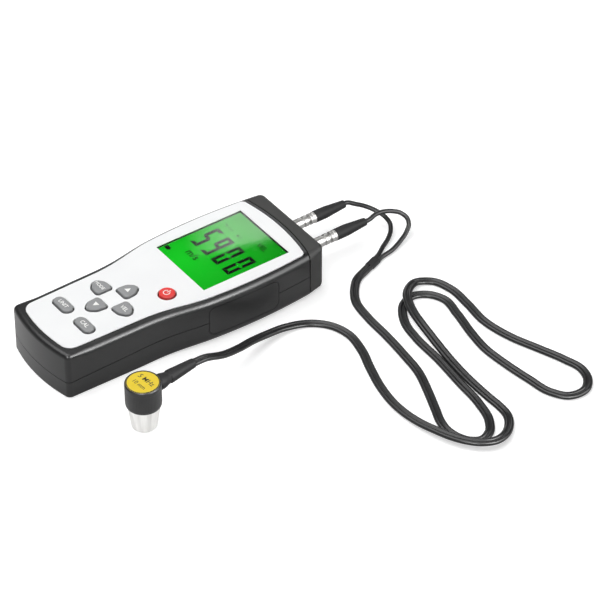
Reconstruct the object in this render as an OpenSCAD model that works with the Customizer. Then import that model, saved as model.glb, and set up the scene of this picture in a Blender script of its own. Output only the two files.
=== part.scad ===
/* [Case] */
// Overall length of the case with its end cap
case_l = 204; // [190:1:220]
// Height from the table to the top of the face panel
case_h = 35; // [33:0.5:42]
// Width across the display head
head_w = 83.2; // [80:0.2:92]
// Width at the keypad end of the grip
grip_w = 65.5; // [62:0.5:70]
// Gain of half-width for each millimetre along the grip
grip_slope = 0.02; // [0.01:0.002:0.05]
// Radius of the barrel curve along the sides of the head
head_crown_r = 394; // [300:1:600]
// Wall thickness of the two half shells and the cap
wall = 2.2; // [1.8:0.1:2.6]
// Radius of the long edges round the face
top_edge_r = 5.5; // [4.5:0.1:6]
// Radius of the top edge at the keypad end
near_edge_r = 3.4; // [2.4:0.1:4]
// Radius of the lower edges under the head
head_base_r = 5; // [3:0.1:6]
// Radius of the lower edges under the grip
grip_base_r = 1; // [0.8:0.1:2.4]
// Radius of the bowed keypad end, seen from above
near_end_r = 120; // [90:1:160]
// Corner radius at the keypad end, seen from above
near_corner_r = 4; // [3:0.1:6]
// Height of the parting line at the keypad end
parting_grip_z = 12.5; // [11:0.1:14]
// Height of the parting line along the head
parting_head_z = 17.3; // [16:0.1:19]

/* [End cap] */
// Length of the end cap along the sides of the case
cap_l = 14; // [12:0.5:18]
// Width of the end cap at its far face
cap_far_w = 71; // [66:0.5:74]
// Radius of the upright corners of the end cap
cap_corner_r = 5; // [3:0.1:6]
// Radius of the top edge at the far face of the end cap
cap_edge_r = 2.2; // [0.8:0.1:2.8]
// Radius of the lower edge at the far face of the end cap
cap_base_r = 2.6; // [1.4:0.1:4]
// Radius of the bowed seam between the case and the end cap
seam_r = 156; // [130:1:220]
// Width of the seam groove
seam_gap = 0.4; // [0.2:0.1:0.8]
// Length of the lip that the end cap pushes into the case
cap_lip_l = 4; // [3:0.5:6]
// Thickness of that lip
cap_lip_t = 1.6; // [1.2:0.1:2]

/* [Face panel and display] */
// Thickness of the white face panel
panel_t = 1.6; // [1.2:0.1:2]
// Black rim left beside the face panel at the display head
panel_rim = 4; // [3.5:0.1:5]
// Black rim left beside the face panel along the grip
panel_grip_rim = 5.5; // [4.5:0.1:6.5]
// Black rim left at the keypad end
panel_end_rim = 6; // [5:0.1:8]
// Black rim left in front of the end cap seam
panel_seam_rim = 2.4; // [2:0.1:4]
// How far the face panel stands above the rim
panel_proud = 0.2; // [0.1:0.05:0.4]
// Thickness of the case roof under the face panel
roof_t = 1.8; // [1.4:0.1:2.4]
// Width of the display window
window_w = 55.4; // [48:0.2:58]
// Length of the display window
window_l = 67.7; // [60:0.1:70]
// Distance from the far face of the end cap to the middle of the window
window_from_far = 57; // [56:0.5:62]
// Thickness of the clear window
window_t = 1.4; // [1:0.1:1.6]
// Width of the ledge under the edge of the window
window_ledge = 0.6; // [0.4:0.1:1.5]
// Thickness of the liquid crystal cell
cell_t = 2.6; // [2:0.1:3]
// Thickness of the backlight
backlight_t = 2.8; // [2:0.1:3.2]
// Height of the open space between the display and the circuit board
board_drop = 4.7; // [4.2:0.1:5.4]
// Thickness of the circuit board
board_t = 1.6; // [1:0.1:2]

/* [Keys] */
// Distance from the keypad end to the middle of the four petal keys
petal_from_near = 59.9; // [57:0.1:64]
// Distance of the left and right petal keys from the middle
petal_reach_x = 14.5; // [14:0.1:16]
// Distance of the upper and lower petal keys from the middle
petal_reach_y = 13.1; // [13:0.1:15]
// Width of a petal key across its flat side
petal_w = 12.4; // [10:0.1:13]
// Length of a petal key from the flat side to the tip
petal_l = 13.2; // [11:0.1:13.6]
// Distance from the keypad end to the two oval keys
oval_from_near = 30.6; // [29:0.1:32]
// Distance of the oval keys from the middle
oval_reach = 12.6; // [12:0.1:14]
// Length of an oval key
oval_l = 17.6; // [14:0.1:18]
// Width of an oval key
oval_w = 8.6; // [7:0.1:9]
// Distance from the keypad end to the power key
power_from_near = 91.5; // [88:0.1:94]
// Distance of the power key from the middle
power_x = 17; // [14:0.1:18]
// Diameter of the power key
power_d = 11.6; // [9:0.1:12.5]
// Height of the keys above the face panel
key_proud = 1.5; // [1:0.1:2]
// Travel of a key
key_travel = 0.7; // [0.4:0.05:0.8]
// Gap between a key and its hole
key_gap = 0.3; // [0.2:0.05:0.5]

/* [Side cover] */
// Length of the flush cover in the right side
side_cover_l = 54; // [45:0.5:58]
// Height of the side cover
side_cover_h = 22; // [18:0.5:23]
// Height of the middle of the side cover above the table
side_cover_z = 17.6; // [16.5:0.1:18]
// Distance from the far face of the end cap to the middle of the side cover
side_cover_from_far = 68; // [66:0.5:72]
// Corner radius of the side cover
side_cover_r = 4.5; // [3:0.1:6]
// Gap round the side cover
side_cover_gap = 0.2; // [0.1:0.05:0.4]

/* [Battery bay] */
// Diameter of a battery cell
cell_d = 10.5; // [10:0.1:11]
// Length of a battery cell without its knob
battery_l = 43.7; // [42:0.1:44.5]
// Distance between the middles of two battery cells
cell_pitch = 11; // [10.8:0.1:11.4]
// Distance from the keypad end to the middle of the battery bay
bay_from_near = 52; // [50:0.5:56]
// Thickness of the moulded walls of the battery bay
bay_wall = 1.5; // [1.2:0.1:1.8]
// Gap round the battery door
door_gap = 0.25; // [0.15:0.05:0.4]

/* [Sockets and plugs] */
// Distance between the two sockets
socket_pitch = 24; // [20:0.5:28]
// Height of the sockets above the table
socket_z = 16.6; // [15:0.1:18]
// Diameter of the socket barrel
socket_d = 7; // [6.4:0.1:8]
// Diameter of the socket flange outside the cap
socket_flange_d = 9.6; // [9:0.1:11]
// Thickness of the socket flange
socket_flange_t = 1.4; // [1:0.1:2]
// Diameter of the plug nose inside the socket
nose_d = 4.9; // [4.4:0.1:5.2]
// Outer diameter of the fluted release sleeve
sleeve_d = 7.8; // [6.4:0.1:8]
// Length of the release sleeve
sleeve_l = 18.5; // [17:0.5:22]
// Travel of the release sleeve
sleeve_travel = 1.2; // [0.8:0.1:1.4]
// Diameter of the clamping ring behind the sleeve
ring_d = 8; // [7.6:0.1:9]
// Length of the clamping ring
ring_l = 4.4; // [3.6:0.1:5]
// Diameter of the strain relief boot at the clamping ring
boot_d = 8.3; // [8:0.1:9.4]
// Length of the strain relief boot
boot_l = 25.5; // [22:0.5:30]
// Diameter of one screened lead
lead_d = 3; // [2.6:0.1:3.2]

/* [Probe] */
// Diameter of the knurled probe housing
probe_d = 23.7; // [22.5:0.1:26]
// Height of the probe housing
probe_housing_h = 18.3; // [17:0.1:20]
// Height of the bare metal tip below the housing
tip_h = 17.2; // [15:0.1:19]
// Diameter of the tip at the housing
tip_top_d = 19; // [18.2:0.1:20]
// Diameter of the tip at its contact face
tip_face_d = 14.3; // [13.6:0.1:15]
// Diameter of the bore through the tip
tip_bore_d = 11; // [10:0.1:11.4]
// Diameter of the label on the probe
label_d = 21.8; // [19:0.1:21.8]
// Angle of the probe lead from the length of the case
probe_turn = 6; // [0:1:12]
// Diameter of the thick stub where the lead leaves the probe
stub_d = 10.6; // [9.6:0.1:12]

/* [Hidden] */

$fn = 48;
fit = 0.2;
panel_gap = 0.1;

// Landmarks along the case
near_y = -case_l / 2;
far_y = case_l / 2;
seam_side_y = far_y - cap_l;
head_y = far_y - window_from_far;
waist_from_near = 57;
waist_from_far = 92;
waist_start_y = near_y + waist_from_near;
waist_end_y = far_y - waist_from_far;

// Landmarks in height
shell_top_z = case_h - panel_proud;
panel_z = case_h - panel_t;
roof_z = panel_z - roof_t;
cell_top_z = panel_z - 0.1;
cell_z = cell_top_z - cell_t;
board_z = cell_z - board_drop;
board_under_z = board_z - board_t;

// Plan outline of the case, right half from the keypad end to the far face
corner_x = grip_w / 2 - near_corner_r;
corner_y = near_y + near_end_r - sqrt(pow(near_end_r - near_corner_r, 2) - pow(corner_x, 2));
end_angle = asin(corner_x / (near_end_r - near_corner_r));
end_steps = 5;
corner_steps = 5;
side_steps = 20;
cap_corner_steps = 4;

function unit(v) = v / norm(v);
function mix(a, b, t) = a + (b - a) * t;
function ease(t) = let (u = max(0, min(1, t))) u * u * (3 - 2 * u);
function flip(points) = [for (i = [len(points) - 1 : -1 : 0]) [-points[i].x, points[i].y]];

function waist(y) = ease((y - waist_start_y) / (waist_end_y - waist_start_y));
function grip_half(y) = grip_w / 2 + grip_slope * (y - corner_y);
function head_half(y) = head_w / 2 - pow(y - head_y, 2) / (2 * head_crown_r);
function half_width(y) = mix(grip_half(y), head_half(y), waist(y));

function end_points() = [for (i = [0 : end_steps]) let (a = end_angle * i / end_steps)
  [near_end_r * sin(a), near_y + near_end_r * (1 - cos(a))]];
function corner_points() = [for (i = [1 : corner_steps]) let (a = mix(end_angle, 90, i / corner_steps))
  [corner_x + near_corner_r * sin(a), corner_y - near_corner_r * cos(a)]];
function side_points() = [for (i = [1 : side_steps]) let (y = mix(corner_y, seam_side_y, i / side_steps))
  [half_width(y), y]];

// Round the far corner of the cap between its slanted side and its flat end
cap_tip = [cap_far_w / 2, far_y];
cap_back = unit([half_width(seam_side_y), seam_side_y] - cap_tip);
cap_half_angle = acos(cap_back * [-1, 0]) / 2;
cap_arc_mid = cap_tip + unit(cap_back + [-1, 0]) * cap_corner_r / sin(cap_half_angle);
function cap_corner_points() = [for (i = [0 : cap_corner_steps])
  let (a = mix(90 - (180 - 2 * cap_half_angle), 90, i / cap_corner_steps))
  cap_arc_mid + cap_corner_r * [cos(a), sin(a)]];

right_half = concat(end_points(), corner_points(), side_points(), cap_corner_points());
left_half = flip(right_half);
case_outline = concat(right_half, [for (i = [0 : len(left_half) - 2]) left_half[i]]);

// Mitred inward step of one unit at each point of a closed counter-clockwise outline
function inward(points) = let (n = len(points)) [for (i = [0 : n - 1])
  let (a = unit(points[i] - points[(i + n - 1) % n]), b = unit(points[(i + 1) % n] - points[i]))
  let (na = [-a.y, a.x], nb = [-b.y, b.x]) (na + nb) / (1 + na * nb)];
case_inward = inward(case_outline);
function case_inset(d) = [for (i = [0 : len(case_outline) - 1]) case_outline[i] + d * case_inward[i]];

// Edge radii follow the length of the case and stay inside the upright corners
corner_spare = 0.3;
near_blend_l = 16;
near_r = min(near_edge_r, near_corner_r - corner_spare);
far_r = min(cap_base_r, cap_corner_r - corner_spare);
function near_part(y) = ease((y - corner_y) / near_blend_l);
function cap_part(y) = max(0, (y - seam_side_y) / cap_l);
function top_r(y) = mix(mix(near_r, top_edge_r, near_part(y)), cap_edge_r, cap_part(y));
function base_r(y) = mix(mix(grip_base_r, head_base_r, waist(y)), far_r, cap_part(y));
base_angles = [0, 30, 60, 90];
top_angles = [0, 22.5, 45, 67.5, 90];
function base_ring(a) = [for (i = [0 : len(case_outline) - 1])
  let (r = base_r(case_outline[i].y), p = case_outline[i] + r * (1 - sin(a)) * case_inward[i])
  [p.x, p.y, r * (1 - cos(a))]];
function top_ring(a) = [for (i = [0 : len(case_outline) - 1])
  let (r = top_r(case_outline[i].y), p = case_outline[i] + r * (1 - cos(a)) * case_inward[i])
  [p.x, p.y, shell_top_z - r * (1 - sin(a))]];
case_rings = concat([for (a = base_angles) base_ring(a)], [for (a = top_angles) top_ring(a)]);

// Skin over a stack of equal rings, closed at both ends
module skin(rings) {
  n = len(rings[0]);
  last = len(rings) - 1;
  sides = [for (k = [0 : last - 1]) for (i = [0 : n - 1]) let (j = (i + 1) % n) each [
    [k * n + i, (k + 1) * n + i, (k + 1) * n + j],
    [k * n + i, (k + 1) * n + j, k * n + j]]];
  bottom = [for (i = [0 : n - 1]) i];
  top = [for (i = [n - 1 : -1 : 0]) last * n + i];
  polyhedron(points = [for (r = rings) each r], faces = concat(sides, [bottom, top]), convexity = 8);
}

// Tube with an oval section, one ring at each point of its route, rolled by turns[i] where given
tube_sides = 8;
function route_dir(p, i) = unit(p[min(i + 1, len(p) - 1)] - p[max(i - 1, 0)]);
function route_ring(p, i, half_w, half_h, turn) =
  let (d = route_dir(p, i), side = unit(cross(d, [0, 0, 1])), up = cross(side, d))
  let (s = cos(turn) * side + sin(turn) * up, u = cos(turn) * up - sin(turn) * side)
  [for (k = [0 : tube_sides - 1]) let (a = -360 * k / tube_sides)
    p[i] + half_w * cos(a) * s + half_h * sin(a) * u];
module tube(p, half_w, half_h, turns = []) {
  last = len(turns) - 1;
  skin([for (i = [0 : len(p) - 1]) route_ring(p, i, half_w, half_h, i <= last ? turns[i] : 0)]);
}

// The whole rounded body, the regions that divide it, and its hollow
module case_body() {
  skin(case_rings);
}

parting_bend_y = waist_end_y;
span = case_l + head_w;
module below_parting() {
  rotate([90, 0, 90]) translate([0, 0, -span / 2]) linear_extrude(span)
    polygon([[near_y - span, -span], [near_y - span, parting_grip_z], [near_y, parting_grip_z],
      [parting_bend_y, parting_head_z], [far_y + span, parting_head_z], [far_y + span, -span]]);
}

seam_bow = seam_r - sqrt(pow(seam_r, 2) - pow(half_width(seam_side_y), 2));
seam_mid_y = seam_side_y - seam_gap / 2 + seam_bow;
module before_seam(step) {
  translate([0, seam_mid_y - seam_r, -span / 2]) cylinder(r = seam_r + step, h = span, $fn = 96);
}

module hollow() {
  translate([0, 0, wall]) linear_extrude(roof_z - wall) polygon(case_inset(wall));
}

// Face panel outline: parallel to the sides, bowed at both ends, drawn inwards by step
panel_near_corner_r = 8;
panel_far_corner_r = 4;
panel_steps = 18;
arc_steps = 6;
panel_near_r = near_end_r - panel_end_rim;
panel_far_r = seam_r - panel_seam_rim;
panel_near_mid_y = near_y + near_end_r;
panel_far_mid_y = seam_mid_y - seam_r;
function panel_side(y) = half_width(y) - mix(panel_grip_rim, panel_rim, waist(y));
panel_near_x = panel_side(near_y + panel_end_rim + panel_near_corner_r) - panel_near_corner_r;
panel_far_x = panel_side(seam_side_y - panel_seam_rim - panel_far_corner_r) - panel_far_corner_r;
panel_near_y = panel_near_mid_y - sqrt(pow(panel_near_r - panel_near_corner_r, 2) - pow(panel_near_x, 2));
panel_far_y = panel_far_mid_y + sqrt(pow(panel_far_r - panel_far_corner_r, 2) - pow(panel_far_x, 2));
panel_near_angle = asin(panel_near_x / (panel_near_r - panel_near_corner_r));
panel_far_angle = asin(panel_far_x / (panel_far_r - panel_far_corner_r));
function panel_half(step) = concat(
  [for (i = [0 : arc_steps]) let (a = panel_near_angle * i / arc_steps)
    [(panel_near_r - step) * sin(a), panel_near_mid_y - (panel_near_r - step) * cos(a)]],
  [for (i = [1 : arc_steps])
    let (a = mix(panel_near_angle, 90, i / arc_steps), r = panel_near_corner_r - step)
    [panel_near_x + r * sin(a), panel_near_y - r * cos(a)]],
  [for (i = [1 : panel_steps - 1]) let (y = mix(panel_near_y, panel_far_y, i / panel_steps))
    [panel_side(y) - step, y]],
  [for (i = [0 : arc_steps])
    let (a = mix(0, 90 - panel_far_angle, i / arc_steps), r = panel_far_corner_r - step)
    [panel_far_x + r * cos(a), panel_far_y + r * sin(a)]],
  [for (i = [1 : arc_steps]) let (a = mix(panel_far_angle, 0, i / arc_steps))
    [(panel_far_r - step) * sin(a), panel_far_mid_y + (panel_far_r - step) * cos(a)]]);
module panel_outline(step) {
  half = panel_half(step);
  other = flip(half);
  polygon(concat(half, [for (i = [1 : len(other) - 2]) other[i]]));
}

// Display window and the opening under it
window_gap = 0.15;
opening_w = window_w - 2 * window_ledge;
opening_l = window_l - 2 * window_ledge;
cell_w = opening_w - 2 * fit;
cell_l = opening_l - 2 * fit;
module window_plan(w, l) {
  translate([-w / 2, head_y - l / 2]) square([w, l]);
}

// Keys: form, middle and turn of each
petal_y = near_y + petal_from_near;
oval_y = near_y + oval_from_near;
power_y = near_y + power_from_near;
key_up_at = [0, petal_y + petal_reach_y, 0];
key_down_at = [0, petal_y - petal_reach_y, 180];
key_left_at = [-petal_reach_x, petal_y, 90];
key_right_at = [petal_reach_x, petal_y, -90];
oval_left_at = [-oval_reach, oval_y, 0];
oval_right_at = [oval_reach, oval_y, 0];
power_at = [power_x, power_y, 0];
keys = [["petal", key_up_at], ["petal", key_down_at], ["petal", key_left_at], ["petal", key_right_at],
  ["oval", oval_left_at], ["oval", oval_right_at], ["round", power_at]];

petal_base_r = 2.6;
petal_tip_r = 4;
petal_belly_r = petal_w / 2 - 0.3;
module petal_plan(grow) {
  hull() {
    for (s = [-1, 1])
      translate([s * (petal_w / 2 - petal_base_r), petal_base_r - petal_l / 2])
        circle(r = petal_base_r + grow, $fn = 24);
    translate([0, petal_belly_r - petal_l / 2 + 0.2]) circle(r = petal_belly_r + grow, $fn = 32);
    translate([0, petal_l / 2 - petal_tip_r]) circle(r = petal_tip_r + grow, $fn = 24);
  }
}
module oval_plan(grow) {
  reach = (oval_l - oval_w) / 2;
  for (s = [-1, 1])
    translate([s * reach, 0]) circle(r = oval_w / 2 + grow);
  translate([-reach, -oval_w / 2 - grow]) square([2 * reach, oval_w + 2 * grow]);
}
module key_plan(form, grow) {
  if (form == "petal") petal_plan(grow);
  if (form == "oval") oval_plan(grow);
  if (form == "round") circle(d = power_d + 2 * grow);
}
module at_key(place) {
  translate([place.x, place.y]) rotate(place.z) children();
}
module key_holes() {
  for (k = keys) at_key(k[1]) key_plan(k[0], key_gap);
}

// Key heights
key_top_z = case_h + key_proud;
key_round = 0.8;
key_flange_t = 1;
key_flange_w = 1;
key_flange_z = roof_z - fit - key_flange_t;
key_stem_d = 3.6;
dome_h = 1.2;
dome_top_z = board_z + dome_h;
key_stop_gap = 0.15;
key_stem_z = dome_top_z + key_travel + key_stop_gap;
module key(form, place) {
  at_key(place) {
    hull() {
      translate([0, 0, key_flange_z]) linear_extrude(key_top_z - key_round - key_flange_z) key_plan(form, 0);
      translate([0, 0, key_flange_z]) linear_extrude(key_top_z - 0.3 * key_round - key_flange_z)
        key_plan(form, -0.25 * key_round);
      translate([0, 0, key_flange_z]) linear_extrude(key_top_z - key_flange_z) key_plan(form, -key_round);
    }
    translate([0, 0, key_flange_z]) linear_extrude(key_flange_t) key_plan(form, key_flange_w);
    translate([0, 0, key_stem_z]) cylinder(d = key_stem_d, h = key_flange_z - key_stem_z + key_flange_t / 2);
  }
}

// Screws that hold the halves together, and those that hold the board
case_screw_d = 2.6;
case_screw_head_d = 5.2;
case_screw_head_h = 2;
case_screw_seat_z = wall + 2.4;
case_screw_l = 16;
case_boss_r = 3.2;
boss_side_gap = 1;
head_boss_in = 32;
near_boss_in = 9.5;
near_boss_side = 9;
head_boss_y = far_y - head_boss_in;
head_boss_x = half_width(head_boss_y) - wall - case_boss_r - boss_side_gap;
near_boss_y = near_y + near_boss_in;
near_boss_x = grip_w / 2 - near_boss_side;
case_screw_places = [for (s = [-1, 1]) each [[s * near_boss_x, near_boss_y], [s * head_boss_x, head_boss_y]]];

board_screw_d = 1.8;
board_screw_head_d = 3.8;
board_screw_head_h = 1.3;
board_screw_l = 5;
board_boss_r = 2.6;
board_head_margin = 5.3;
board_grip_side = 7;
board_near_in = 15;
board_far_in = 20;
board_step_gap = 11;
board_screw_in = 4;
board_head_half = window_w / 2 + board_head_margin;
board_grip_half = grip_w / 2 - board_grip_side;
board_near_y = near_y + board_near_in;
board_far_y = far_y - board_far_in;
board_step_y = head_y - window_l / 2 - board_step_gap;
board_screw_places = [for (s = [-1, 1]) each [
  [s * (board_grip_half - board_screw_in), board_near_y + board_screw_in],
  [s * (board_head_half - board_screw_in), board_step_y + board_screw_in]]];

// Flush cover in the right side, trapped by a flange between the two halves
side_cover_y = far_y - side_cover_from_far;
side_cover_lip = 1.5;
side_cover_flange_t = 1.4;
side_reach = side_cover_l / 2 + side_cover_lip;
side_inner_x = min([for (s = [-1, 1]) half_width(side_cover_y + s * side_reach)]) - wall;
side_flange_x = side_inner_x - fit - side_cover_flange_t;
module side_plan(grow) {
  l = side_cover_l + 2 * grow;
  h = side_cover_h + 2 * grow;
  r = side_cover_r + grow;
  square([l - 2 * r, h], center = true);
  square([l, h - 2 * r], center = true);
  for (x = [-1, 1]) for (y = [-1, 1])
    translate([x * (l / 2 - r), y * (h / 2 - r)]) circle(r = r);
}
module side_block(x0, x1, grow) {
  translate([x0, side_cover_y, side_cover_z]) rotate([90, 0, 90]) linear_extrude(x1 - x0) side_plan(grow);
}

// Battery bay, its door, cells and contacts
cell_count = 4;
bay_y = near_y + bay_from_near;
knob_d = 3.8;
knob_h = 0.8;
plate_t = 0.4;
contact_gap = 0.1;
spring_l = 3.7;
bay_l = battery_l + knob_h + spring_l + 2 * plate_t + 2 * contact_gap;
bay_w = (cell_count - 1) * cell_pitch + cell_d + 1;
door_t = wall - 0.4;
cell_axis_z = door_t + 0.4 + cell_d / 2;
bay_top_z = cell_axis_z + cell_d / 2 + 0.6;
bay_half_l = bay_l / 2;
plate_w = 2 * cell_pitch - 1.4;
plate_h = 7.6;
plate_z = cell_axis_z - plate_h / 2;
tab_z = wall + fit;
tab_t = 1.2;
tab_reach = 1.1;
tab_depth = 0.9;
tab_w = 6;
tab_x = 13;
latch_w = 10;
latch_reach = 0.7;

// Sockets in the end cap and the plugs in them, along Y
nut_t = 2.2;
nut_d = 11;
socket_back_l = 11.5;
socket_pin_d = 1.6;
socket_pin_l = 2.5;
socket_face_y = far_y + socket_flange_t;
socket_bore_l = 9.5;
socket_back_y = far_y - socket_back_l;
wire_y = socket_back_y - socket_pin_l;
nose_y = socket_face_y - socket_bore_l;
nose_gap = 0.1;
sleeve_bore_gap = 0.15;
sleeve_y = socket_face_y + 0.25;
ring_y = sleeve_y + sleeve_l + sleeve_travel + 0.4;
boot_y = ring_y + ring_l;
boot_end_y = boot_y + boot_l;
tail_d = 4.4;
tail_l = 9;
pin_d = 0.9;
pin_hole_d = 1.1;
pin_end_y = ring_y + 1;
left_x = -socket_pitch / 2;
right_x = socket_pitch / 2;
module along_y(x, y) {
  translate([x, y, socket_z]) rotate([-90, 0, 0]) children();
}

// Probe standing beside the gauge, its lead turned by probe_turn
probe_x = 81;
probe_y = -72;
probe_top_z = tip_h + probe_housing_h;
probe_lead_z = tip_h + 10.6;
probe_bore_d = 16.2;
probe_roof_t = 2.8;
tip_spigot_h = 6.5;
label_t = 0.5;
label_sink = 0.6;
spigot_d = 8;
spigot_in = 2.6;
stub_l = 9.5;
probe_sleeve_d = 7.2;
probe_sleeve_end_d = 6.4;
probe_boot_l = 30.5;
probe_boot_end = probe_d / 2 + probe_boot_l;
delay_h = 12;
crystal_t = 0.5;
backing_h = 8;
barrier_t = 0.7;
function from_probe(along, z) = [probe_x - along * sin(probe_turn), probe_y + along * cos(probe_turn), z];
module at_probe() {
  translate([probe_x, probe_y, 0]) rotate(probe_turn) children();
}

// Leads: the joiner where the two leads meet the twin cable
joiner_at = [36.4, 142.1];
joiner_turn = 21;
joiner_l = 9;
joiner_h = 3.6;
joiner_w = 7;
lead_side = lead_d / 2 + 0.1;
twin_half_w = lead_d + 0.1;
function at_joiner(along, side, z) = [
  joiner_at.x - along * sin(joiner_turn) + side * cos(joiner_turn),
  joiner_at.y + along * cos(joiner_turn) + side * sin(joiner_turn), z];
joiner_z = joiner_h / 2;
lead_left_route = concat(
  [[left_x, boot_end_y, socket_z], [left_x, boot_end_y + 2, socket_z]],
  [[-8.3, 160.4, 15.6], [-3.7, 165.8, 14], [1.3, 169.9, 12], [8, 173.6, 8.8], [13.2, 173.8, 6.4]],
  [[17.5, 171.2, 4.6], [22.1, 165.8, 3.2], [26.6, 157.9, 2.2]],
  [at_joiner(joiner_l / 2 + 4, -lead_side, joiner_z), at_joiner(joiner_l / 2, -lead_side, joiner_z)]);
lead_right_route = concat(
  [[right_x, boot_end_y, socket_z], [right_x, boot_end_y + 3, socket_z]],
  [[10.4, 163.4, 17], [10.8, 169.1, 17], [12.8, 176.1, 15.6], [15.1, 181.5, 13], [18.8, 184, 10]],
  [[22.5, 182.8, 7.4], [25.6, 178.5, 5], [29.4, 170.5, 3.2], [32.9, 161.2, 2.2]],
  [at_joiner(joiner_l / 2 + 4, lead_side, joiner_z), at_joiner(joiner_l / 2, lead_side, joiner_z)]);
cord_z = 1.6;
function lying(points) = [for (p = points) [p.x, p.y, cord_z]];
// From the probe down to the table, then the outer loop, which rides over the end of the inner loop
probe_run = [[73.6, -5.5, 20], [69.1, 9.5, 14.8], [63.4, 24.2, 10], [60, 38.8, 6.3], [58.3, 53.2, 3.4]];
outer_loop = [[62.5, 70.3], [73.3, 80.8], [86.5, 84.7], [103.8, 82.3], [122.6, 75.8], [141.8, 70.1]];
outer_ride = [[159.4, 67.3, 1.8], [183.3, 68.3, 3.2], [198, 71.7, 4.6], [208.4, 75.7, 4.9], [216.9, 81, 4.9],
  [223.4, 87.3, 4.9], [227.3, 96.3, 4.6], [225.6, 104.6, 3.6], [220, 112.5, 2.4]];
// Back beside the inner loop and over the crossing
return_run = [[209.9, 119.3], [200.2, 120.6], [190.7, 120.4], [174.5, 120.6], [158.9, 121.6]];
over_run = [[143.9, 123.3, 1.8], [131.7, 124.8, 2.6], [118.7, 126.5, 3.8], [108.7, 127.8, 4.8],
  [97.4, 130.1, 5.2], [86.9, 133.9, 5.2], [80.4, 137.5, 5.2], [74.2, 143.8, 4.2], [70.2, 152.7, 2.6]];
// The loop behind, the inner loop and the way back to the joiner
back_loop = [[75.2, 162.9], [88.2, 167.8], [107, 167.3], [127, 165.2], [149.6, 168.9], [169.2, 176.1],
  [188.2, 183.1], [202.7, 186.4], [212.8, 183.2], [219.8, 175], [218.5, 163.2], [208.7, 155.8], [190.5, 152.3],
  [167.2, 149.3], [150.4, 148.4], [133.1, 150.7], [111.8, 155.3], [94, 157.5], [83.9, 151.6], [79.6, 142.8]];
inner_loop = [[83.5, 132.2], [90.7, 126.1], [99.4, 121.7], [115.8, 118.4], [140.9, 117], [166.9, 114.1],
  [191.1, 111.5], [207.3, 106.7], [216.6, 99.1], [219, 91.6], [215.3, 85.2], [207.5, 80.8], [198.3, 79.5],
  [189.2, 81.3], [180.2, 85], [161.4, 92.6], [144, 98.7], [125.1, 101.6], [101.7, 104]];
home_run = [[80.2, 105.3], [61.9, 108.9], [50.6, 116.4], [44.1, 123.2]];
twin_route = concat(
  [from_probe(probe_boot_end, probe_lead_z), from_probe(probe_boot_end + 7, probe_lead_z - 1)],
  probe_run, lying(outer_loop), outer_ride, lying(return_run), over_run,
  lying(concat(back_loop, inner_loop, home_run)),
  [at_joiner(-joiner_l / 2 - 5, 0, joiner_z), at_joiner(-joiner_l / 2, 0, joiner_z)]);

// The flat cable leaves the probe half on edge and lies level a few rings on
twin_roll = 45;
twin_roll_rings = 3;
twin_turns = [for (i = [0 : twin_roll_rings]) twin_roll * (1 - ease(i / twin_roll_rings))];

case_colour = "#2c2c2e";
cap_colour = "#3a3a3b";
key_colour = "#77787a";
metal_colour = "#c9cacb";
cord_colour = "#1f1f20";

// Upper half shell with the recess for the panel, key holes and screw columns
module front_case() {
  color(case_colour) difference() {
    intersection() {
      union() {
        difference() {
          case_body();
          hollow();
        }
        for (p = case_screw_places)
          translate([p.x, p.y, parting_grip_z - 2])
            cylinder(r = case_boss_r, h = roof_z - parting_grip_z + 2.5);
        for (p = board_screw_places)
          translate([p.x, p.y, board_z]) cylinder(r = board_boss_r, h = roof_z - board_z + 0.5);
      }
      before_seam(0);
    }
    below_parting();
    translate([0, 0, panel_z]) linear_extrude(panel_t + 2) panel_outline(-panel_gap);
    translate([0, 0, roof_z - 1]) linear_extrude(roof_t + 2) {
      window_plan(opening_w, opening_l);
      key_holes();
    }
    for (p = case_screw_places)
      translate([p.x, p.y, 0]) cylinder(d = case_screw_d + fit, h = case_screw_seat_z + case_screw_l + 1);
    for (p = board_screw_places)
      translate([p.x, p.y, board_z - 1]) cylinder(d = board_screw_d + fit, h = board_screw_l + 0.5);
    side_block(0, head_w, side_cover_gap);
  }
}

// Lower half shell with its screw posts and the moulded battery bay
module bay_box(grow, top) {
  translate([-bay_w / 2 - grow, bay_y - bay_half_l - grow, 0])
    cube([bay_w + 2 * grow, bay_l + 2 * grow, top]);
}
module rear_case() {
  color(case_colour) difference() {
    union() {
      intersection() {
        union() {
          difference() {
            case_body();
            hollow();
          }
          for (p = case_screw_places)
            translate([p.x, p.y, wall / 2]) cylinder(r = case_boss_r, h = parting_head_z);
        }
        before_seam(0);
        below_parting();
      }
      translate([0, 0, wall / 2]) bay_box(bay_wall, bay_top_z + bay_wall - wall / 2);
    }
    translate([0, 0, -1]) bay_box(0, bay_top_z + 1);
    for (s = [-1, 1])
      translate([s * tab_x - tab_w / 2 - fit, bay_y - bay_half_l - bay_wall - 1, wall])
        cube([tab_w + 2 * fit, bay_wall + 2, tab_t + 2 * fit]);
    translate([-latch_w / 2 - fit, bay_y + bay_half_l - 1, wall])
      cube([latch_w + 2 * fit, bay_wall + 2, tab_t + 2 * fit]);
    for (p = case_screw_places) translate([p.x, p.y, -1]) {
      cylinder(d = case_screw_head_d + 2 * fit, h = case_screw_seat_z + 1);
      cylinder(d = case_screw_d + fit, h = parting_head_z + 2);
    }
    side_block(0, head_w, side_cover_gap);
  }
}

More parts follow.
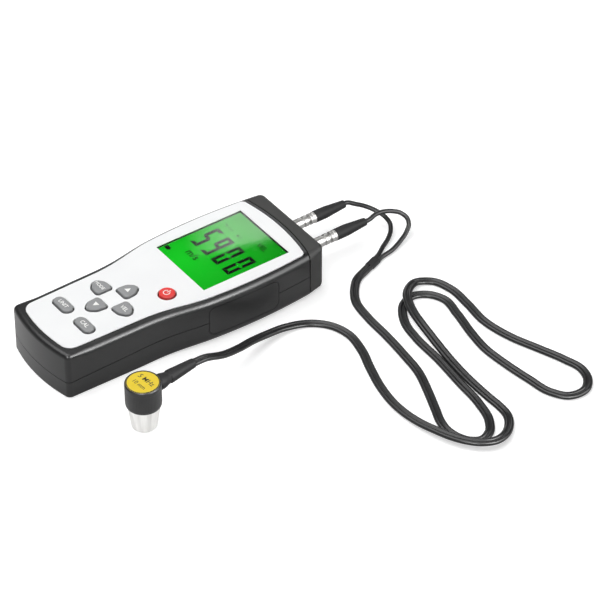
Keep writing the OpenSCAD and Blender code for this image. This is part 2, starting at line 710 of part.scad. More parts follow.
// Full-height cap that closes the head, with a lip inside the two shells
lip_out = wall + fit;
lip_in = lip_out + cap_lip_t;
side_last = end_steps + corner_steps + side_steps;
side_normal = [cap_back.y, -cap_back.x];
cap_tip_inward = (side_normal + [0, -1]) / (1 + side_normal * [0, -1]);
function cap_half(d) = concat(
  [for (i = [side_last - side_steps / 2 : side_last]) case_outline[i] + d * case_inward[i]],
  [cap_tip + d * cap_tip_inward]);
function cap_inset(d) = concat(cap_half(d), flip(cap_half(d)));
module end_cap() {
  color(cap_colour) difference() {
    union() {
      difference() {
        case_body();
        before_seam(seam_gap);
      }
      difference() {
        translate([0, 0, wall]) linear_extrude(roof_z - fit - wall) polygon(cap_inset(lip_out));
        before_seam(-cap_lip_l);
      }
    }
    translate([0, 0, lip_in]) linear_extrude(roof_z - fit - cap_lip_t - lip_in) polygon(cap_inset(lip_in));
    for (x = [left_x, right_x])
      along_y(x, far_y - cap_l) cylinder(d = socket_d + fit, h = 2 * cap_l);
  }
}

// White face panel let into the front shell
module face_panel() {
  color("#f4f5f5") translate([0, 0, panel_z]) linear_extrude(panel_t) difference() {
    panel_outline(0);
    window_plan(window_w + 2 * window_gap, window_l + 2 * window_gap);
    key_holes();
  }
}

module side_cover() {
  color(case_colour) {
    intersection() {
      case_body();
      side_block(side_flange_x, head_w, 0);
    }
    side_block(side_flange_x, side_flange_x + side_cover_flange_t, side_cover_lip);
  }
}

// Door plate with two fixed tabs at one end and a springy latch at the other
module battery_door() {
  w = bay_w - 2 * door_gap;
  l = bay_l - 2 * door_gap;
  rise = tab_z + tab_t - door_t / 2;
  color(case_colour) {
    translate([-w / 2, bay_y - l / 2, 0]) cube([w, l, door_t]);
    for (s = [-1, 1]) translate([s * tab_x - tab_w / 2, bay_y - l / 2, 0]) {
      translate([0, 0, door_t / 2]) cube([tab_w, tab_depth, rise]);
      translate([0, -tab_reach, tab_z]) cube([tab_w, tab_reach + tab_depth, tab_t]);
    }
    translate([-latch_w / 2, bay_y + l / 2 - tab_depth, 0]) {
      translate([0, 0, door_t / 2]) cube([latch_w, tab_depth, rise]);
      translate([0, 0, tab_z]) cube([latch_w, latch_reach + tab_depth, tab_t]);
    }
  }
}

// Display stack from the clear window down to the board
module display_window() {
  color([0.8, 0.9, 0.85, 0.4]) translate([0, 0, panel_z]) linear_extrude(window_t)
    window_plan(window_w, window_l);
}
module display_cell() {
  color("#18b026") translate([0, 0, cell_z]) linear_extrude(cell_t) window_plan(cell_w, cell_l);
}
frame_w = 3;
module display_frame() {
  color("#1d1d1e") translate([0, 0, board_z]) linear_extrude(roof_z - board_z - panel_gap) difference() {
    window_plan(opening_w + 2 * frame_w, opening_l + 2 * frame_w);
    window_plan(opening_w, opening_l);
  }
}
strip_w = 2.4;
strip_inset = 1.2;
module backlight() {
  color("#e9f5ea") translate([0, 0, cell_z - backlight_t]) linear_extrude(backlight_t)
    window_plan(cell_w, cell_l - 4 * strip_w);
}
module contact_strips() {
  color("#6e7276") for (s = [-1, 1])
    translate([-cell_w / 2 + strip_inset, head_y + s * (cell_l / 2 - strip_inset) - strip_w / 2, board_z])
      cube([cell_w - 2 * strip_inset, strip_w, board_drop]);
}

// Circuit board with its parts
module main_board() {
  color("#1f6b3a") translate([0, 0, board_under_z]) linear_extrude(board_t) difference() {
    union() {
      translate([-board_grip_half, board_near_y])
        square([2 * board_grip_half, board_step_y + 1 - board_near_y]);
      translate([-board_head_half, board_step_y]) square([2 * board_head_half, board_far_y - board_step_y]);
    }
    for (p = case_screw_places) translate([p.x, p.y]) circle(r = case_boss_r + 0.5);
    for (p = board_screw_places) translate([p.x, p.y]) circle(d = board_screw_d + fit);
  }
}
// Chip sizes and their middles, as width, length, height, x and distance from the far end of the board
chips = [[14, 14, 1.5, -10, 34], [10, 10, 1.4, 12, 30], [8, 5, 1.6, -14, 12], [8, 5, 1.6, 14, 12],
  [12, 9, 2, 8, 56], [6, 4, 1.4, -8, 60]];
module board_chips() {
  color("#242628") for (c = chips)
    translate([c[3] - c[0] / 2, board_far_y - c[4] - c[1] / 2, board_under_z - c[2]])
      cube([c[0], c[1], c[2]]);
}
module dome_switches() {
  body = 6;
  body_h = dome_h - 0.4;
  color("#b9bbbd") for (k = keys) translate([k[1].x, k[1].y, board_z]) {
    translate([-body / 2, -body / 2, 0]) cube([body, body, body_h]);
    cylinder(d = key_stem_d, h = dome_h);
  }
}
module screw(d, l, head_d, head_h) {
  translate([0, 0, -head_h]) cylinder(d = head_d, h = head_h);
  translate([0, 0, -head_h / 2]) cylinder(d = d, h = l + head_h / 2);
}
module board_screws() {
  color(metal_colour) for (p = board_screw_places) translate([p.x, p.y, board_under_z])
    screw(board_screw_d, board_screw_l, board_screw_head_d, board_screw_head_h);
}
module case_screws() {
  color("#3c3d3f") for (p = case_screw_places) translate([p.x, p.y, case_screw_seat_z])
    screw(case_screw_d, case_screw_l, case_screw_head_d, case_screw_head_h);
}

// Keys, each free to travel down to its dome switch
module key_power() {
  color("#e8363a") key("round", power_at);
}
module key_up() {
  color(key_colour) key("petal", key_up_at);
}
module key_down() {
  color(key_colour) key("petal", key_down_at);
}
module key_left() {
  color(key_colour) key("petal", key_left_at);
}
module key_right() {
  color(key_colour) key("petal", key_right_at);
}
module key_lower_left() {
  color(key_colour) key("oval", oval_left_at);
}
module key_lower_right() {
  color(key_colour) key("oval", oval_right_at);
}

// Cells lie side by side with their ends turned about, so each end has springs and plates
module each_cell() {
  for (i = [0 : cell_count - 1])
    translate([(i - (cell_count - 1) / 2) * cell_pitch, bay_y, cell_axis_z]) rotate([-90, 0, i % 2 * 180])
      children();
}
knob_end = bay_half_l - plate_t - contact_gap;
cell_bottom = knob_end - knob_h - battery_l;
module battery_cells() {
  color("#5a6f86") each_cell() {
    translate([0, 0, cell_bottom]) cylinder(d = cell_d, h = battery_l);
    translate([0, 0, knob_end - 2 * knob_h]) cylinder(d = knob_d, h = 2 * knob_h);
  }
}
spring_wire = 0.6;
spring_turns = 2.5;
spring_steps = 8;
spring_wide_r = 3.2;
spring_narrow_r = 1.9;
spring_route = [for (i = [0 : spring_turns * spring_steps])
  let (a = 360 * i / spring_steps, t = i / (spring_turns * spring_steps))
  let (r = mix(spring_wide_r, spring_narrow_r, t))
  [r * cos(a), r * sin(a), mix(spring_wire / 2, spring_l - spring_wire / 2, t)]];
module battery_springs() {
  color(metal_colour) each_cell()
    translate([0, 0, plate_t - bay_half_l]) tube(spring_route, spring_wire / 2, spring_wire / 2);
}
module battery_plates() {
  color(metal_colour) for (x = [-1, 1]) for (y = [-1, 1])
    translate([x * cell_pitch - plate_w / 2, bay_y + y * (bay_half_l - plate_t / 2) - plate_t / 2, plate_z])
      cube([plate_w, plate_t, plate_h]);
}

// Panel sockets: flange outside the cap, nut inside, solder pin behind
module socket(x) {
  color(metal_colour) along_y(x, 0) difference() {
    union() {
      translate([0, 0, far_y]) cylinder(d = socket_flange_d, h = socket_flange_t);
      translate([0, 0, socket_back_y]) cylinder(d = socket_d, h = socket_back_l + socket_flange_t / 2);
      translate([0, 0, wire_y]) cylinder(d = socket_pin_d, h = socket_pin_l + 1);
    }
    translate([0, 0, nose_y]) cylinder(d = nose_d + 2 * nose_gap, h = socket_bore_l + 1);
  }
}
module socket_left() {
  socket(left_x);
}
module socket_right() {
  socket(right_x);
}
module socket_nuts() {
  color(metal_colour) for (x = [left_x, right_x]) along_y(x, far_y - lip_in - nut_t) difference() {
    cylinder(d = nut_d, h = nut_t, $fn = 6);
    translate([0, 0, -1]) cylinder(d = socket_d + nose_gap, h = nut_t + 2);
  }
}
wire_d = 1.8;
module signal_wires() {
  end_z = board_under_z - wire_d / 2 - 0.1;
  color("#b08a3a") for (x = [left_x, right_x])
    tube([[x, wire_y, socket_z], [x, wire_y - 2, socket_z], [x, wire_y - 5, mix(socket_z, end_z, 0.6)],
      [x, wire_y - 8, end_z], [x, board_far_y - 8, end_z]], wire_d / 2, wire_d / 2);
}

// Push-pull plugs: core with nose and clamping ring, fluted sleeve that slides on the core
module plug(x) {
  color(metal_colour) along_y(x, 0) difference() {
    union() {
      translate([0, 0, nose_y]) cylinder(d = nose_d, h = ring_y + 1 - nose_y);
      translate([0, 0, ring_y]) cylinder(d = ring_d, h = ring_l);
      translate([0, 0, ring_y + ring_l / 2]) cylinder(d = tail_d, h = ring_l / 2 + tail_l);
    }
    translate([0, 0, nose_y - 1]) cylinder(d = pin_hole_d, h = pin_end_y - nose_y + 1);
    translate([0, 0, ring_y + ring_l / 2]) rotate_extrude() translate([ring_d / 2, 0]) circle(r = 0.4);
  }
}
module plug_left() {
  plug(left_x);
}
module plug_right() {
  plug(right_x);
}
flute_count = 12;
flute_r = 0.55;
flute_l = 11;
module sleeve(x) {
  color(metal_colour) along_y(x, sleeve_y) difference() {
    cylinder(d = sleeve_d, h = sleeve_l);
    translate([0, 0, -1]) cylinder(d = nose_d + 2 * sleeve_bore_gap, h = sleeve_l + 2);
    for (i = [0 : flute_count - 1]) rotate(360 * (i + 0.5) / flute_count)
      translate([sleeve_d / 2 + flute_r / 2, 0, 1]) cylinder(r = flute_r, h = flute_l, $fn = 24);
    translate([0, 0, sleeve_l - 4]) rotate_extrude() translate([sleeve_d / 2, 0]) circle(r = 0.45);
  }
}
module sleeve_left() {
  sleeve(left_x);
}
module sleeve_right() {
  sleeve(right_x);
}
module plug_pins() {
  pin_y = nose_y + 0.6;
  color("#d8b25a") for (x = [left_x, right_x]) along_y(x, pin_y) cylinder(d = pin_d, h = pin_end_y - pin_y);
}

// Moulded strain relief: straight at the ring, tapered towards the lead, thick rim at its end
boot_straight = 9;
boot_rim_l = 3.5;
boot_rim_r = lead_d / 2 + 1.2;
module boot(x) {
  color(cord_colour) along_y(x, boot_y) rotate_extrude() polygon([
    [tail_d / 2 + nose_gap, 0], [boot_d / 2, 0], [boot_d / 2, boot_straight],
    [boot_rim_r - 0.25, boot_l - boot_rim_l], [boot_rim_r, boot_l - boot_rim_l], [boot_rim_r, boot_l],
    [0, boot_l], [0, tail_l + nose_gap], [tail_d / 2 + nose_gap, tail_l + nose_gap]]);
}
module boot_left() {
  boot(left_x);
}
module boot_right() {
  boot(right_x);
}

// Leads, joiner and the twin cable to the probe
module lead_left() {
  color(cord_colour) tube(lead_left_route, lead_d / 2, lead_d / 2);
}
module lead_right() {
  color(cord_colour) tube(lead_right_route, lead_d / 2, lead_d / 2);
}
module twin_cable() {
  color(cord_colour) tube(twin_route, twin_half_w, lead_d / 2, twin_turns);
}
module lead_joiner() {
  flat = joiner_w - joiner_h;
  color(cord_colour) translate([joiner_at.x, joiner_at.y, joiner_z]) rotate([90, 0, joiner_turn])
    linear_extrude(joiner_l, center = true) {
      square([flat, joiner_h], center = true);
      for (s = [-1, 1]) translate([s * flat / 2, 0]) circle(d = joiner_h);
    }
}

// Probe: housing, label, metal tip and the two halves of the sound path inside it
module probe_housing() {
  edge = 0.6;
  r = probe_d / 2;
  color("#2b2b2c") at_probe() difference() {
    rotate_extrude() polygon([
      [probe_bore_d / 2, tip_h], [r - edge, tip_h], [r, tip_h + edge], [r, probe_top_z - edge],
      [r - edge, probe_top_z], [label_d / 2 + nose_gap, probe_top_z],
      [label_d / 2 + nose_gap, probe_top_z - label_sink], [0, probe_top_z - label_sink],
      [0, probe_top_z - probe_roof_t], [probe_bore_d / 2, probe_top_z - probe_roof_t]]);
    translate([0, 0, probe_lead_z]) rotate([-90, 0, 0]) cylinder(d = spigot_d + fit, h = probe_d);
  }
}
module probe_label() {
  color("#f2d21c") at_probe() translate([0, 0, probe_top_z - label_sink]) cylinder(d = label_d, h = label_t);
}
module probe_tip() {
  edge = 0.5;
  color(metal_colour) at_probe() rotate_extrude() polygon([
    [tip_bore_d / 2, 0], [tip_face_d / 2 - edge, 0], [tip_face_d / 2, edge], [tip_top_d / 2, tip_h],
    [probe_bore_d / 2 - nose_gap, tip_h], [probe_bore_d / 2 - nose_gap, tip_h + tip_spigot_h],
    [tip_bore_d / 2, tip_h + tip_spigot_h]]);
}
module half_round(z, h) {
  for (s = [0, 180]) rotate(s) translate([0, 0, z]) linear_extrude(h) intersection() {
    circle(d = tip_bore_d - nose_gap);
    translate([-tip_bore_d, barrier_t / 2 + nose_gap / 2]) square(2 * tip_bore_d);
  }
}
module delay_blocks() {
  color("#d7b98a") at_probe() half_round(0, delay_h);
}
module crystals() {
  color("#c8c2a8") at_probe() half_round(delay_h, crystal_t);
}
module backing_blocks() {
  color("#4b4d50") at_probe() half_round(delay_h + crystal_t, backing_h);
}
module sound_barrier() {
  color("#9a6f43") at_probe() translate([-tip_bore_d / 2 + fit, -barrier_t / 2, 0])
    cube([tip_bore_d - 2 * fit, barrier_t, delay_h + crystal_t + backing_h]);
}
module probe_boot() {
  r = probe_d / 2;
  color(cord_colour) at_probe() translate([0, 0, probe_lead_z]) {
    rotate([-90, 0, 0]) translate([0, 0, r - spigot_in]) cylinder(d = spigot_d, h = spigot_in + 2);
    difference() {
      rotate([-90, 0, 0]) rotate_extrude() polygon([
        [0, r - spigot_in], [stub_d / 2, r - spigot_in], [stub_d / 2, r + stub_l],
        [probe_sleeve_d / 2 + 0.6, r + stub_l + 4], [probe_sleeve_d / 2, r + stub_l + 4],
        [probe_sleeve_end_d / 2, probe_boot_end], [0, probe_boot_end]]);
      translate([0, 0, -stub_d]) cylinder(d = probe_d + nose_gap, h = 2 * stub_d);
    }
  }
}

front_case();
rear_case();
end_cap();
face_panel();
side_cover();
battery_door();
display_window();
display_cell();
display_frame();
backlight();
contact_strips();
main_board();
board_chips();
dome_switches();
board_screws();
key_power();
key_up();
key_down();
key_left();
key_right();
key_lower_left();
key_lower_right();
battery_cells();
battery_springs();
battery_plates();
case_screws();
socket_left();
socket_right();
socket_nuts();
signal_wires();
plug_left();
plug_right();
sleeve_left();
sleeve_right();
plug_pins();
boot_left();
boot_right();
lead_left();
lead_right();
lead_joiner();
twin_cable();
probe_boot();
probe_housing();
probe_label();
probe_tip();
delay_blocks();
sound_barrier();
crystals();
backing_blocks();
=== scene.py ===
import bpy
import numpy as np
from mathutils import Matrix, Vector


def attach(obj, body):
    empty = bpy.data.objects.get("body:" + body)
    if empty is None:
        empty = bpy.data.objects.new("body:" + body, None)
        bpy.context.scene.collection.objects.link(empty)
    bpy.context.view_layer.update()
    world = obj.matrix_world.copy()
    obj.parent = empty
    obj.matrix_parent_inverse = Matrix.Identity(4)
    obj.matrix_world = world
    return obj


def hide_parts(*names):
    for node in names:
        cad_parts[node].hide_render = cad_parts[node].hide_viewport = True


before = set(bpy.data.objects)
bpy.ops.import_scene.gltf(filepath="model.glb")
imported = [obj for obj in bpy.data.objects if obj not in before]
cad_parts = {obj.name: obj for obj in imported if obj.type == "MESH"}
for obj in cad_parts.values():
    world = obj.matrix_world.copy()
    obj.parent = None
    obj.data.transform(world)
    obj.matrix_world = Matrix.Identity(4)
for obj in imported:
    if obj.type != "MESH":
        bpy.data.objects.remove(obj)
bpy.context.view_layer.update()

# ---------------------------------------------------------------- Camera
# A long lens well above the table, looking over the right side of the gauge towards its far left corner.


def new_object(name, data):
    """Object in the scene that holds a mesh, a lamp, words or a lens."""
    made = bpy.data.objects.new(name, data)
    bpy.context.scene.collection.objects.link(made)
    return made


camera_turn, camera_tilt = np.radians(54.25), np.radians(39.4)
to_right = np.array([np.cos(camera_turn), np.sin(camera_turn), 0.0])
to_eye = np.array([np.sin(camera_turn) * np.cos(camera_tilt), -np.cos(camera_turn) * np.cos(camera_tilt),
                   np.sin(camera_tilt)])
to_top = np.cross(to_eye, to_right)
window_middle, eye_away, eye_right, eye_down = np.array([0, 45, 35]), 2200, 51.09, 33.22
eye = window_middle + eye_away * to_eye + eye_right * to_right - eye_down * to_top
lens = bpy.data.cameras.new("view")
lens.lens, lens.sensor_width, lens.clip_end = 200.24, 36, 20
camera = new_object("view", lens)
camera.matrix_world = Matrix.Translation(eye * 0.001) @ Matrix(np.stack([to_right, to_top, to_eye], 1)).to_4x4()
bpy.context.scene.camera = camera

# ---------------------------------------------------------------- Plugs in the two sockets
# Push-pull coaxial plugs of turned brass plated with nickel. A solid core carries the nose and the clamping
# ring, and a fluted sleeve slides back on it to unlock the plug.


def put(name, points, faces, crisp=35):
    """Object at the origin from points in millimetres; only edges bent by more than the crisp angle stay sharp."""
    mesh = bpy.data.meshes.new(name)
    mesh.from_pydata((np.asarray(points).reshape(-1, 3) * 0.001).tolist(), [], faces)
    mesh.shade_smooth()
    mesh.set_sharp_from_angle(angle=np.radians(crisp))
    return new_object(name, mesh)


def skin(name, rings, ring_closed=False, crisp=35):
    """Skin over a grid of equal rings (ring, point, xyz) that run counter-clockwise about their way forward.
    Each square joins two neighbouring points to the same two of the next ring; the ends are capped, or joined."""
    count, around = rings.shape[:2]
    steps = np.arange(count if ring_closed else count - 1)[:, None]
    here, beside = np.arange(around), (np.arange(around) + 1) % around
    low, high = steps * around, (steps + 1) % count * around
    faces = np.stack([low + here, low + beside, high + beside, high + here], -1).reshape(-1, 4).tolist()
    if not ring_closed:
        faces += [here[::-1].tolist(), (here + (count - 1) * around).tolist()]
    return put(name, rings, faces, crisp)


def soften(line, radius, steps=5):
    """Line with each inner corner rounded: a quadratic curve from one radius before it to one radius after it."""
    line = np.array(line, float)
    corner, back, on = line[1:-1], line[:-2] - line[1:-1], line[2:] - line[1:-1]
    back_l, on_l = np.linalg.norm(back, axis=1), np.linalg.norm(on, axis=1)
    reach = np.minimum(radius, 0.45 * np.minimum(back_l, on_l))
    start, end = corner + back * (reach / back_l)[:, None], corner + on * (reach / on_l)[:, None]
    t = np.linspace(0, 1, steps)[:, None, None]
    curves = (1 - t) ** 2 * start + 2 * t * (1 - t) * corner + t ** 2 * end
    return np.vstack([line[:1], curves.transpose(1, 0, 2).reshape(-1, line.shape[1]), line[-1:]])


def turned(profile, around=72, depth=0):
    """Rings of a turned shape about Z: each profile point (radius, height) goes round a full circle.
    depth, a grid of (profile point, angle), is cut off the radius where the shape is fluted."""
    angle = np.linspace(0, 2 * np.pi, around, endpoint=False)
    radius = profile[:, :1] - depth
    height = np.broadcast_to(profile[:, 1:], (len(profile), around))
    return np.stack([radius * np.cos(angle), radius * np.sin(angle), height], -1)


socket_x, socket_z = {"left": -12.0, "right": 12.0}, 16.6


def along_case(rings, x):
    """Rings about Z laid down so that their height runs along Y, through a socket's middle."""
    return np.stack([x + rings[..., 0], rings[..., 2], socket_z - rings[..., 1]], -1)


def paint(colour):
    """Linear red, green, blue and alpha of an sRGB hex colour."""
    part = np.array([int(colour[k:k + 2], 16) for k in (1, 3, 5)]) / 255
    return (*np.where(part <= 0.04045, part / 12.92, ((part + 0.055) / 1.055) ** 2.4).tolist(), 1.0)


def add(tree, kind, sockets=(), to=None, out=0, **settings):
    """Adds a node: settings are its properties, sockets its inputs, linked or set, and to is what it feeds."""
    node = tree.nodes.new(kind)
    for name, value in settings.items():
        setattr(node, name, value)
    for name, value in dict(sockets).items():
        if isinstance(value, bpy.types.NodeSocket):
            tree.links.new(value, node.inputs[name])
        else:
            node.inputs[name].default_value = value
    if to is not None:
        tree.links.new(node.outputs[out], to)
    return node.outputs[out]


def start(name, **values):
    """New material. Returns it, its node tree, its shader's sockets and a point's place on the object, in metres."""
    material = bpy.data.materials.new(name)
    material.use_nodes = True
    tree = material.node_tree
    sockets = tree.nodes["Principled BSDF"].inputs
    for socket, value in values.items():
        sockets[socket.replace("_", " ")].default_value = value
    return material, tree, sockets, add(tree, "ShaderNodeTexCoord", out=3)


def mottle(tree, shine, place, across, tones, rough=None, detail=3):
    """Soft noise, so many millimetres across, that sways a material's colour between two tones and its roughness
    between two values. Returns the noise."""
    cloud = add(tree, "ShaderNodeTexNoise", {"Vector": place, "Scale": 1000 / across, "Detail": detail})
    add(tree, "ShaderNodeMix", {0: cloud, 6: paint(tones[0]), 7: paint(tones[1])}, to=shine["Base Color"], out=2,
        data_type="RGBA")
    if rough:
        add(tree, "ShaderNodeMapRange", {"Value": cloud, "To Min": rough[0], "To Max": rough[1]},
            to=shine["Roughness"])
    return cloud


def dress(piece, material, body, slot, *nodes):
    """Gives a piece its material and the body that it rides on, and hides the CAD nodes that it stands for. The slot is
    not used.
    """
    piece.data.materials.clear()
    piece.data.materials.append(material)
    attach(piece, body)
    if nodes:
        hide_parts(*nodes)
    return piece


def lathe_marks(tree, shine, place, span, wander, depth, strength, along):
    """Rings left by the lathe: a sine of the way along an axis over a span, so that they lie 2 pi spans apart. Span
    and depth are in millimetres."""
    rings = add(tree, "ShaderNodeTexWave", {"Vector": place, "Scale": 1000 / span / 20, "Distortion": wander},
                bands_direction=along)
    add(tree, "ShaderNodeBump", {"Height": rings, "Distance": depth * 0.001, "Strength": strength}, to=shine["Normal"])


# Nickel plate on turned brass: bright and slightly warm, with rings left by the lathe about 1.6 mm apart.
nickel_plate, tree, shine, place = start("nickel_plated_brass", Metallic=1.0)
lathe_marks(tree, shine, place, 0.25, 1.5, 0.01, 0.12, "Y")
mottle(tree, shine, place, 4, ("#949391", "#bab9b7"), (0.32, 0.44))

nose_y, ring_y, ring_l, tail_l = 93.9, 123.75, 4.4, 9.0
core_profile = soften([[0.55, ring_y + 1], [0.55, nose_y], [2.45, nose_y], [2.45, ring_y], [4.0, ring_y],
                       [4.0, ring_y + 1.5], [3.72, ring_y + 1.8], [3.72, ring_y + 2.5], [4.0, ring_y + 2.8],
                       [4.0, ring_y + ring_l], [2.2, ring_y + ring_l], [2.2, ring_y + ring_l + tail_l]], 0.22)
# Straight knurl on the clamping ring: 24 shallow ridges round it, 0.08 mm deep, only where the profile is wide.
plug_around = 264
plug_angle = np.linspace(0, 2 * np.pi, plug_around, endpoint=False)
ridge = 0.04 * (1 + np.cos(24 * plug_angle))
core_cut = np.where(core_profile[:, :1] > 3.9, ridge, 0)

# Sleeve: eight flutes fade in and out along it, then come a plain band, a deep release groove and an end band.
sleeve_y, sleeve_l, flute_depth = 103.65, 18.5, 0.38
sleeve_outer = soften([[3.55, 0], [3.9, 0.35], [3.9, 13.0], [3.9, 13.7], [3.25, 14.1], [3.25, 14.9], [3.9, 15.3],
                       [3.9, 18.1], [3.6, sleeve_l]], 0.2)
sleeve_fine = np.stack([np.interp(np.linspace(0, 1, 120), np.linspace(0, 1, len(sleeve_outer)), sleeve_outer[:, k])
                        for k in (0, 1)], 1)
sleeve_profile = np.vstack([sleeve_fine, [[2.62, sleeve_l], [2.62, 0]]])
flute_part = np.clip((sleeve_profile[:, 1] - 1.0) / 0.8, 0, 1) * np.clip((12.4 - sleeve_profile[:, 1]) / 0.8, 0, 1)
flute_part = np.where(sleeve_profile[:, 0] > 3, flute_part, 0)[:, None]
flute = np.clip(np.cos(8 * plug_angle), 0, 1) ** 0.6

plug_pieces = {}
for side, x in socket_x.items():
    core = skin(f"plug_core_{side}", along_case(turned(core_profile, plug_around, core_cut), x))
    dress(core, nickel_plate, "gauge", "nickel", f"plug_{side}")
    sleeve_rings = turned(sleeve_profile + [0, sleeve_y], plug_around, flute_depth * flute_part * flute)
    sleeve = skin(f"plug_sleeve_{side}", along_case(sleeve_rings, x), ring_closed=True)
    dress(sleeve, nickel_plate, f"{side}_sleeve", "nickel", f"sleeve_{side}")
    plug_pieces[side] = [core, sleeve]

# ---------------------------------------------------------------- Strain reliefs
# Black boots of soft PVC moulded over the lead: straight behind the clamping ring, then tapered down to the
# lead. The probe's own boot is a stout stub with a shoulder and a long tapered sleeve.


def moulded(name, grain, across, tones, rough=None, detail=3, **values):
    """Material of a moulded skin: mottled, with a grain (millimetres across, detail, depth in millimetres, strength)
    of fine noise that stands out of it."""
    material, tree, shine, place = start(name, **values)
    mottle(tree, shine, place, across, tones, rough, detail)
    grain_across, grain_detail, depth, strength = grain
    fine = add(tree, "ShaderNodeTexNoise", {"Vector": place, "Scale": 1000 / grain_across, "Detail": grain_detail})
    add(tree, "ShaderNodeBump", {"Height": fine, "Distance": depth * 0.001, "Strength": strength}, to=shine["Normal"])
    return material


# Moulded PVC: deep grey-black with a dull sheen and a sparked texture 0.5 mm across.
soft_pvc = moulded("moulded_soft_PVC", (0.5, 4, 0.06, 0.35), 6, ("#1b1b1c", "#262627"), (0.54, 0.68), 2, IOR=1.5,
                   Specular_IOR_Level=0.25)

boot_y, boot_l = 128.15, 25.5
boot_profile = soften([[2.3, tail_l + 0.1], [2.3, 0], [4.15, 0], [4.15, 9.5], [2.75, 24.9], [2.45, boot_l],
                       [0.02, boot_l]], [0.1, 0.5, 1.5, 0.5, 0.3])
for side, x in socket_x.items():
    boot = skin(f"plug_boot_{side}", along_case(turned(boot_profile + [0, boot_y]), x))
    dress(boot, soft_pvc, "gauge", "cord_rubber", f"boot_{side}")
    plug_pieces[side].append(boot)

probe_x, probe_y, probe_lead_z, probe_turn = 81.0, -72.0, 27.8, np.radians(6)
probe_lead_way = np.array([-np.sin(probe_turn), np.cos(probe_turn), 0])
probe_lead_side = np.array([np.cos(probe_turn), np.sin(probe_turn), 0])


def out_of_probe(rings):
    """Rings about Z laid down so that their height runs out of the probe along its lead."""
    return (np.array([probe_x, probe_y, probe_lead_z]) + rings[..., :1] * probe_lead_side
            + rings[..., 2:] * probe_lead_way - rings[..., 1:2] * np.array([0, 0, 1.0]))


probe_boot_end = 42.35
probe_boot_profile = soften([[0.02, 9.3], [4.0, 9.3], [4.0, 11.5], [5.3, 11.5], [5.25, 15.5], [4.3, 18.6], [4.1, 20.4],
                             [4.6, 20.9], [4.55, 23.0], [3.2, 41.2], [2.6, probe_boot_end], [0.02, probe_boot_end]],
                            [0.1, 0.1, 0.1, 2, 1.4, 0.7, 0.3, 0.5, 0.8, 0.5])
probe_boot = skin("probe_lead_boot", out_of_probe(turned(probe_boot_profile)))
dress(probe_boot, soft_pvc, "gauge", "cord_rubber", "probe_boot")

# ---------------------------------------------------------------- Leads, joiner and twin cable
# Two screened leads run from the plugs into a moulded joiner, and go on from there as one flat twin cable in a
# black PVC jacket, looped on the table and up to the probe.


def smooth_route(points, step):
    """Even steps along a smooth curve through the points: cubic Hermite pieces, whose slope at a point is the mean
    of the chords beside it, each weighted by the length of the other. Returns the steps and the length."""
    points = np.array(points, float)
    chord = np.diff(points, axis=0)
    gap = np.linalg.norm(chord, axis=1)[:, None]
    chord = chord / gap
    slope = np.vstack([chord[:1], (chord[:-1] * gap[1:] + chord[1:] * gap[:-1]) / (gap[1:] + gap[:-1]), chord[-1:]])
    t = np.linspace(0, 1, 24, endpoint=False)[None, :, None]
    start_at, end_at, gap = points[:-1, None], points[1:, None], gap[:, None]
    fine = ((2 * t ** 3 - 3 * t ** 2 + 1) * start_at + (t ** 3 - 2 * t ** 2 + t) * gap * slope[:-1, None]
            + (3 * t ** 2 - 2 * t ** 3) * end_at + (t ** 3 - t ** 2) * gap * slope[1:, None])
    fine = np.vstack([fine.reshape(-1, 3), points[-1:]])
    run = np.concatenate([[0], np.cumsum(np.linalg.norm(np.diff(fine, axis=0), axis=1))])
    even = np.linspace(0, run[-1], int(run[-1] / step) + 2)
    return np.stack([np.interp(even, run, column) for column in fine.T], 1), run[-1]


def carried(section, route):
    """Rings of a section (across, up) set square to a route, with its across kept level."""
    ahead = np.gradient(route, axis=0)
    ahead /= np.linalg.norm(ahead, axis=1)[:, None]
    level = np.cross(ahead, [0, 0, 1.0])
    level /= np.linalg.norm(level, axis=1)[:, None]
    up = np.cross(level, ahead)
    section = section[::-1]
    return route[:, None] + section[:, :1] * level[:, None] + section[:, 1:] * up[:, None]


# Cable jacket: PVC a little darker and glossier than the boots, drawn smooth, uneven over about 1.5 mm.
jacket_pvc = moulded("extruded_PVC_jacket", (1.5, 4, 0.05, 0.3), 12, ("#181819", "#242425"), (0.26, 0.36), IOR=1.5,
                     Specular_IOR_Level=0.45)

joiner_x, joiner_y, joiner_z, joiner_turn, joiner_l = 36.4, 142.1, 1.8, np.radians(21), 9.0


def at_joiner(along, side):
    """A point so far along the joiner, towards the plugs, and so far to its right."""
    return [joiner_x - along * np.sin(joiner_turn) + side * np.cos(joiner_turn),
            joiner_y + along * np.cos(joiner_turn) + side * np.sin(joiner_turn), joiner_z]


def unit(angle):
    """Points on a circle of radius one, at these angles."""
    return np.stack([np.cos(angle), np.sin(angle)], 1)


# The joiner's section is a flat oval, only drawn in at its two crisp ends.
swell = np.array([[-joiner_l / 2, 0.94], [-4.25, 1.0], [4.25, 1.0], [joiner_l / 2, 0.94]])
round_angle = np.linspace(0, 2 * np.pi, 48, endpoint=False)
oval = 1.8 * unit(round_angle)
oval[:, 0] += 1.7 * np.tanh(4 * np.cos(round_angle))
joiner_rings = carried(oval, np.array([at_joiner(a, 0) for a in swell[:, 0]]))
joiner_middle = np.array(at_joiner(0, 0))
joiner_along = np.array(at_joiner(1, 0)) - joiner_middle
joiner_centres = joiner_middle + swell[:, :1] * joiner_along
joiner_rings = joiner_centres[:, None] + (joiner_rings - joiner_centres[:, None]) * swell[:, 1][:, None, None]
joiner = skin("cable_joiner", joiner_rings, crisp=25)
dress(joiner, soft_pvc, "gauge", "cord_rubber", "lead_joiner")

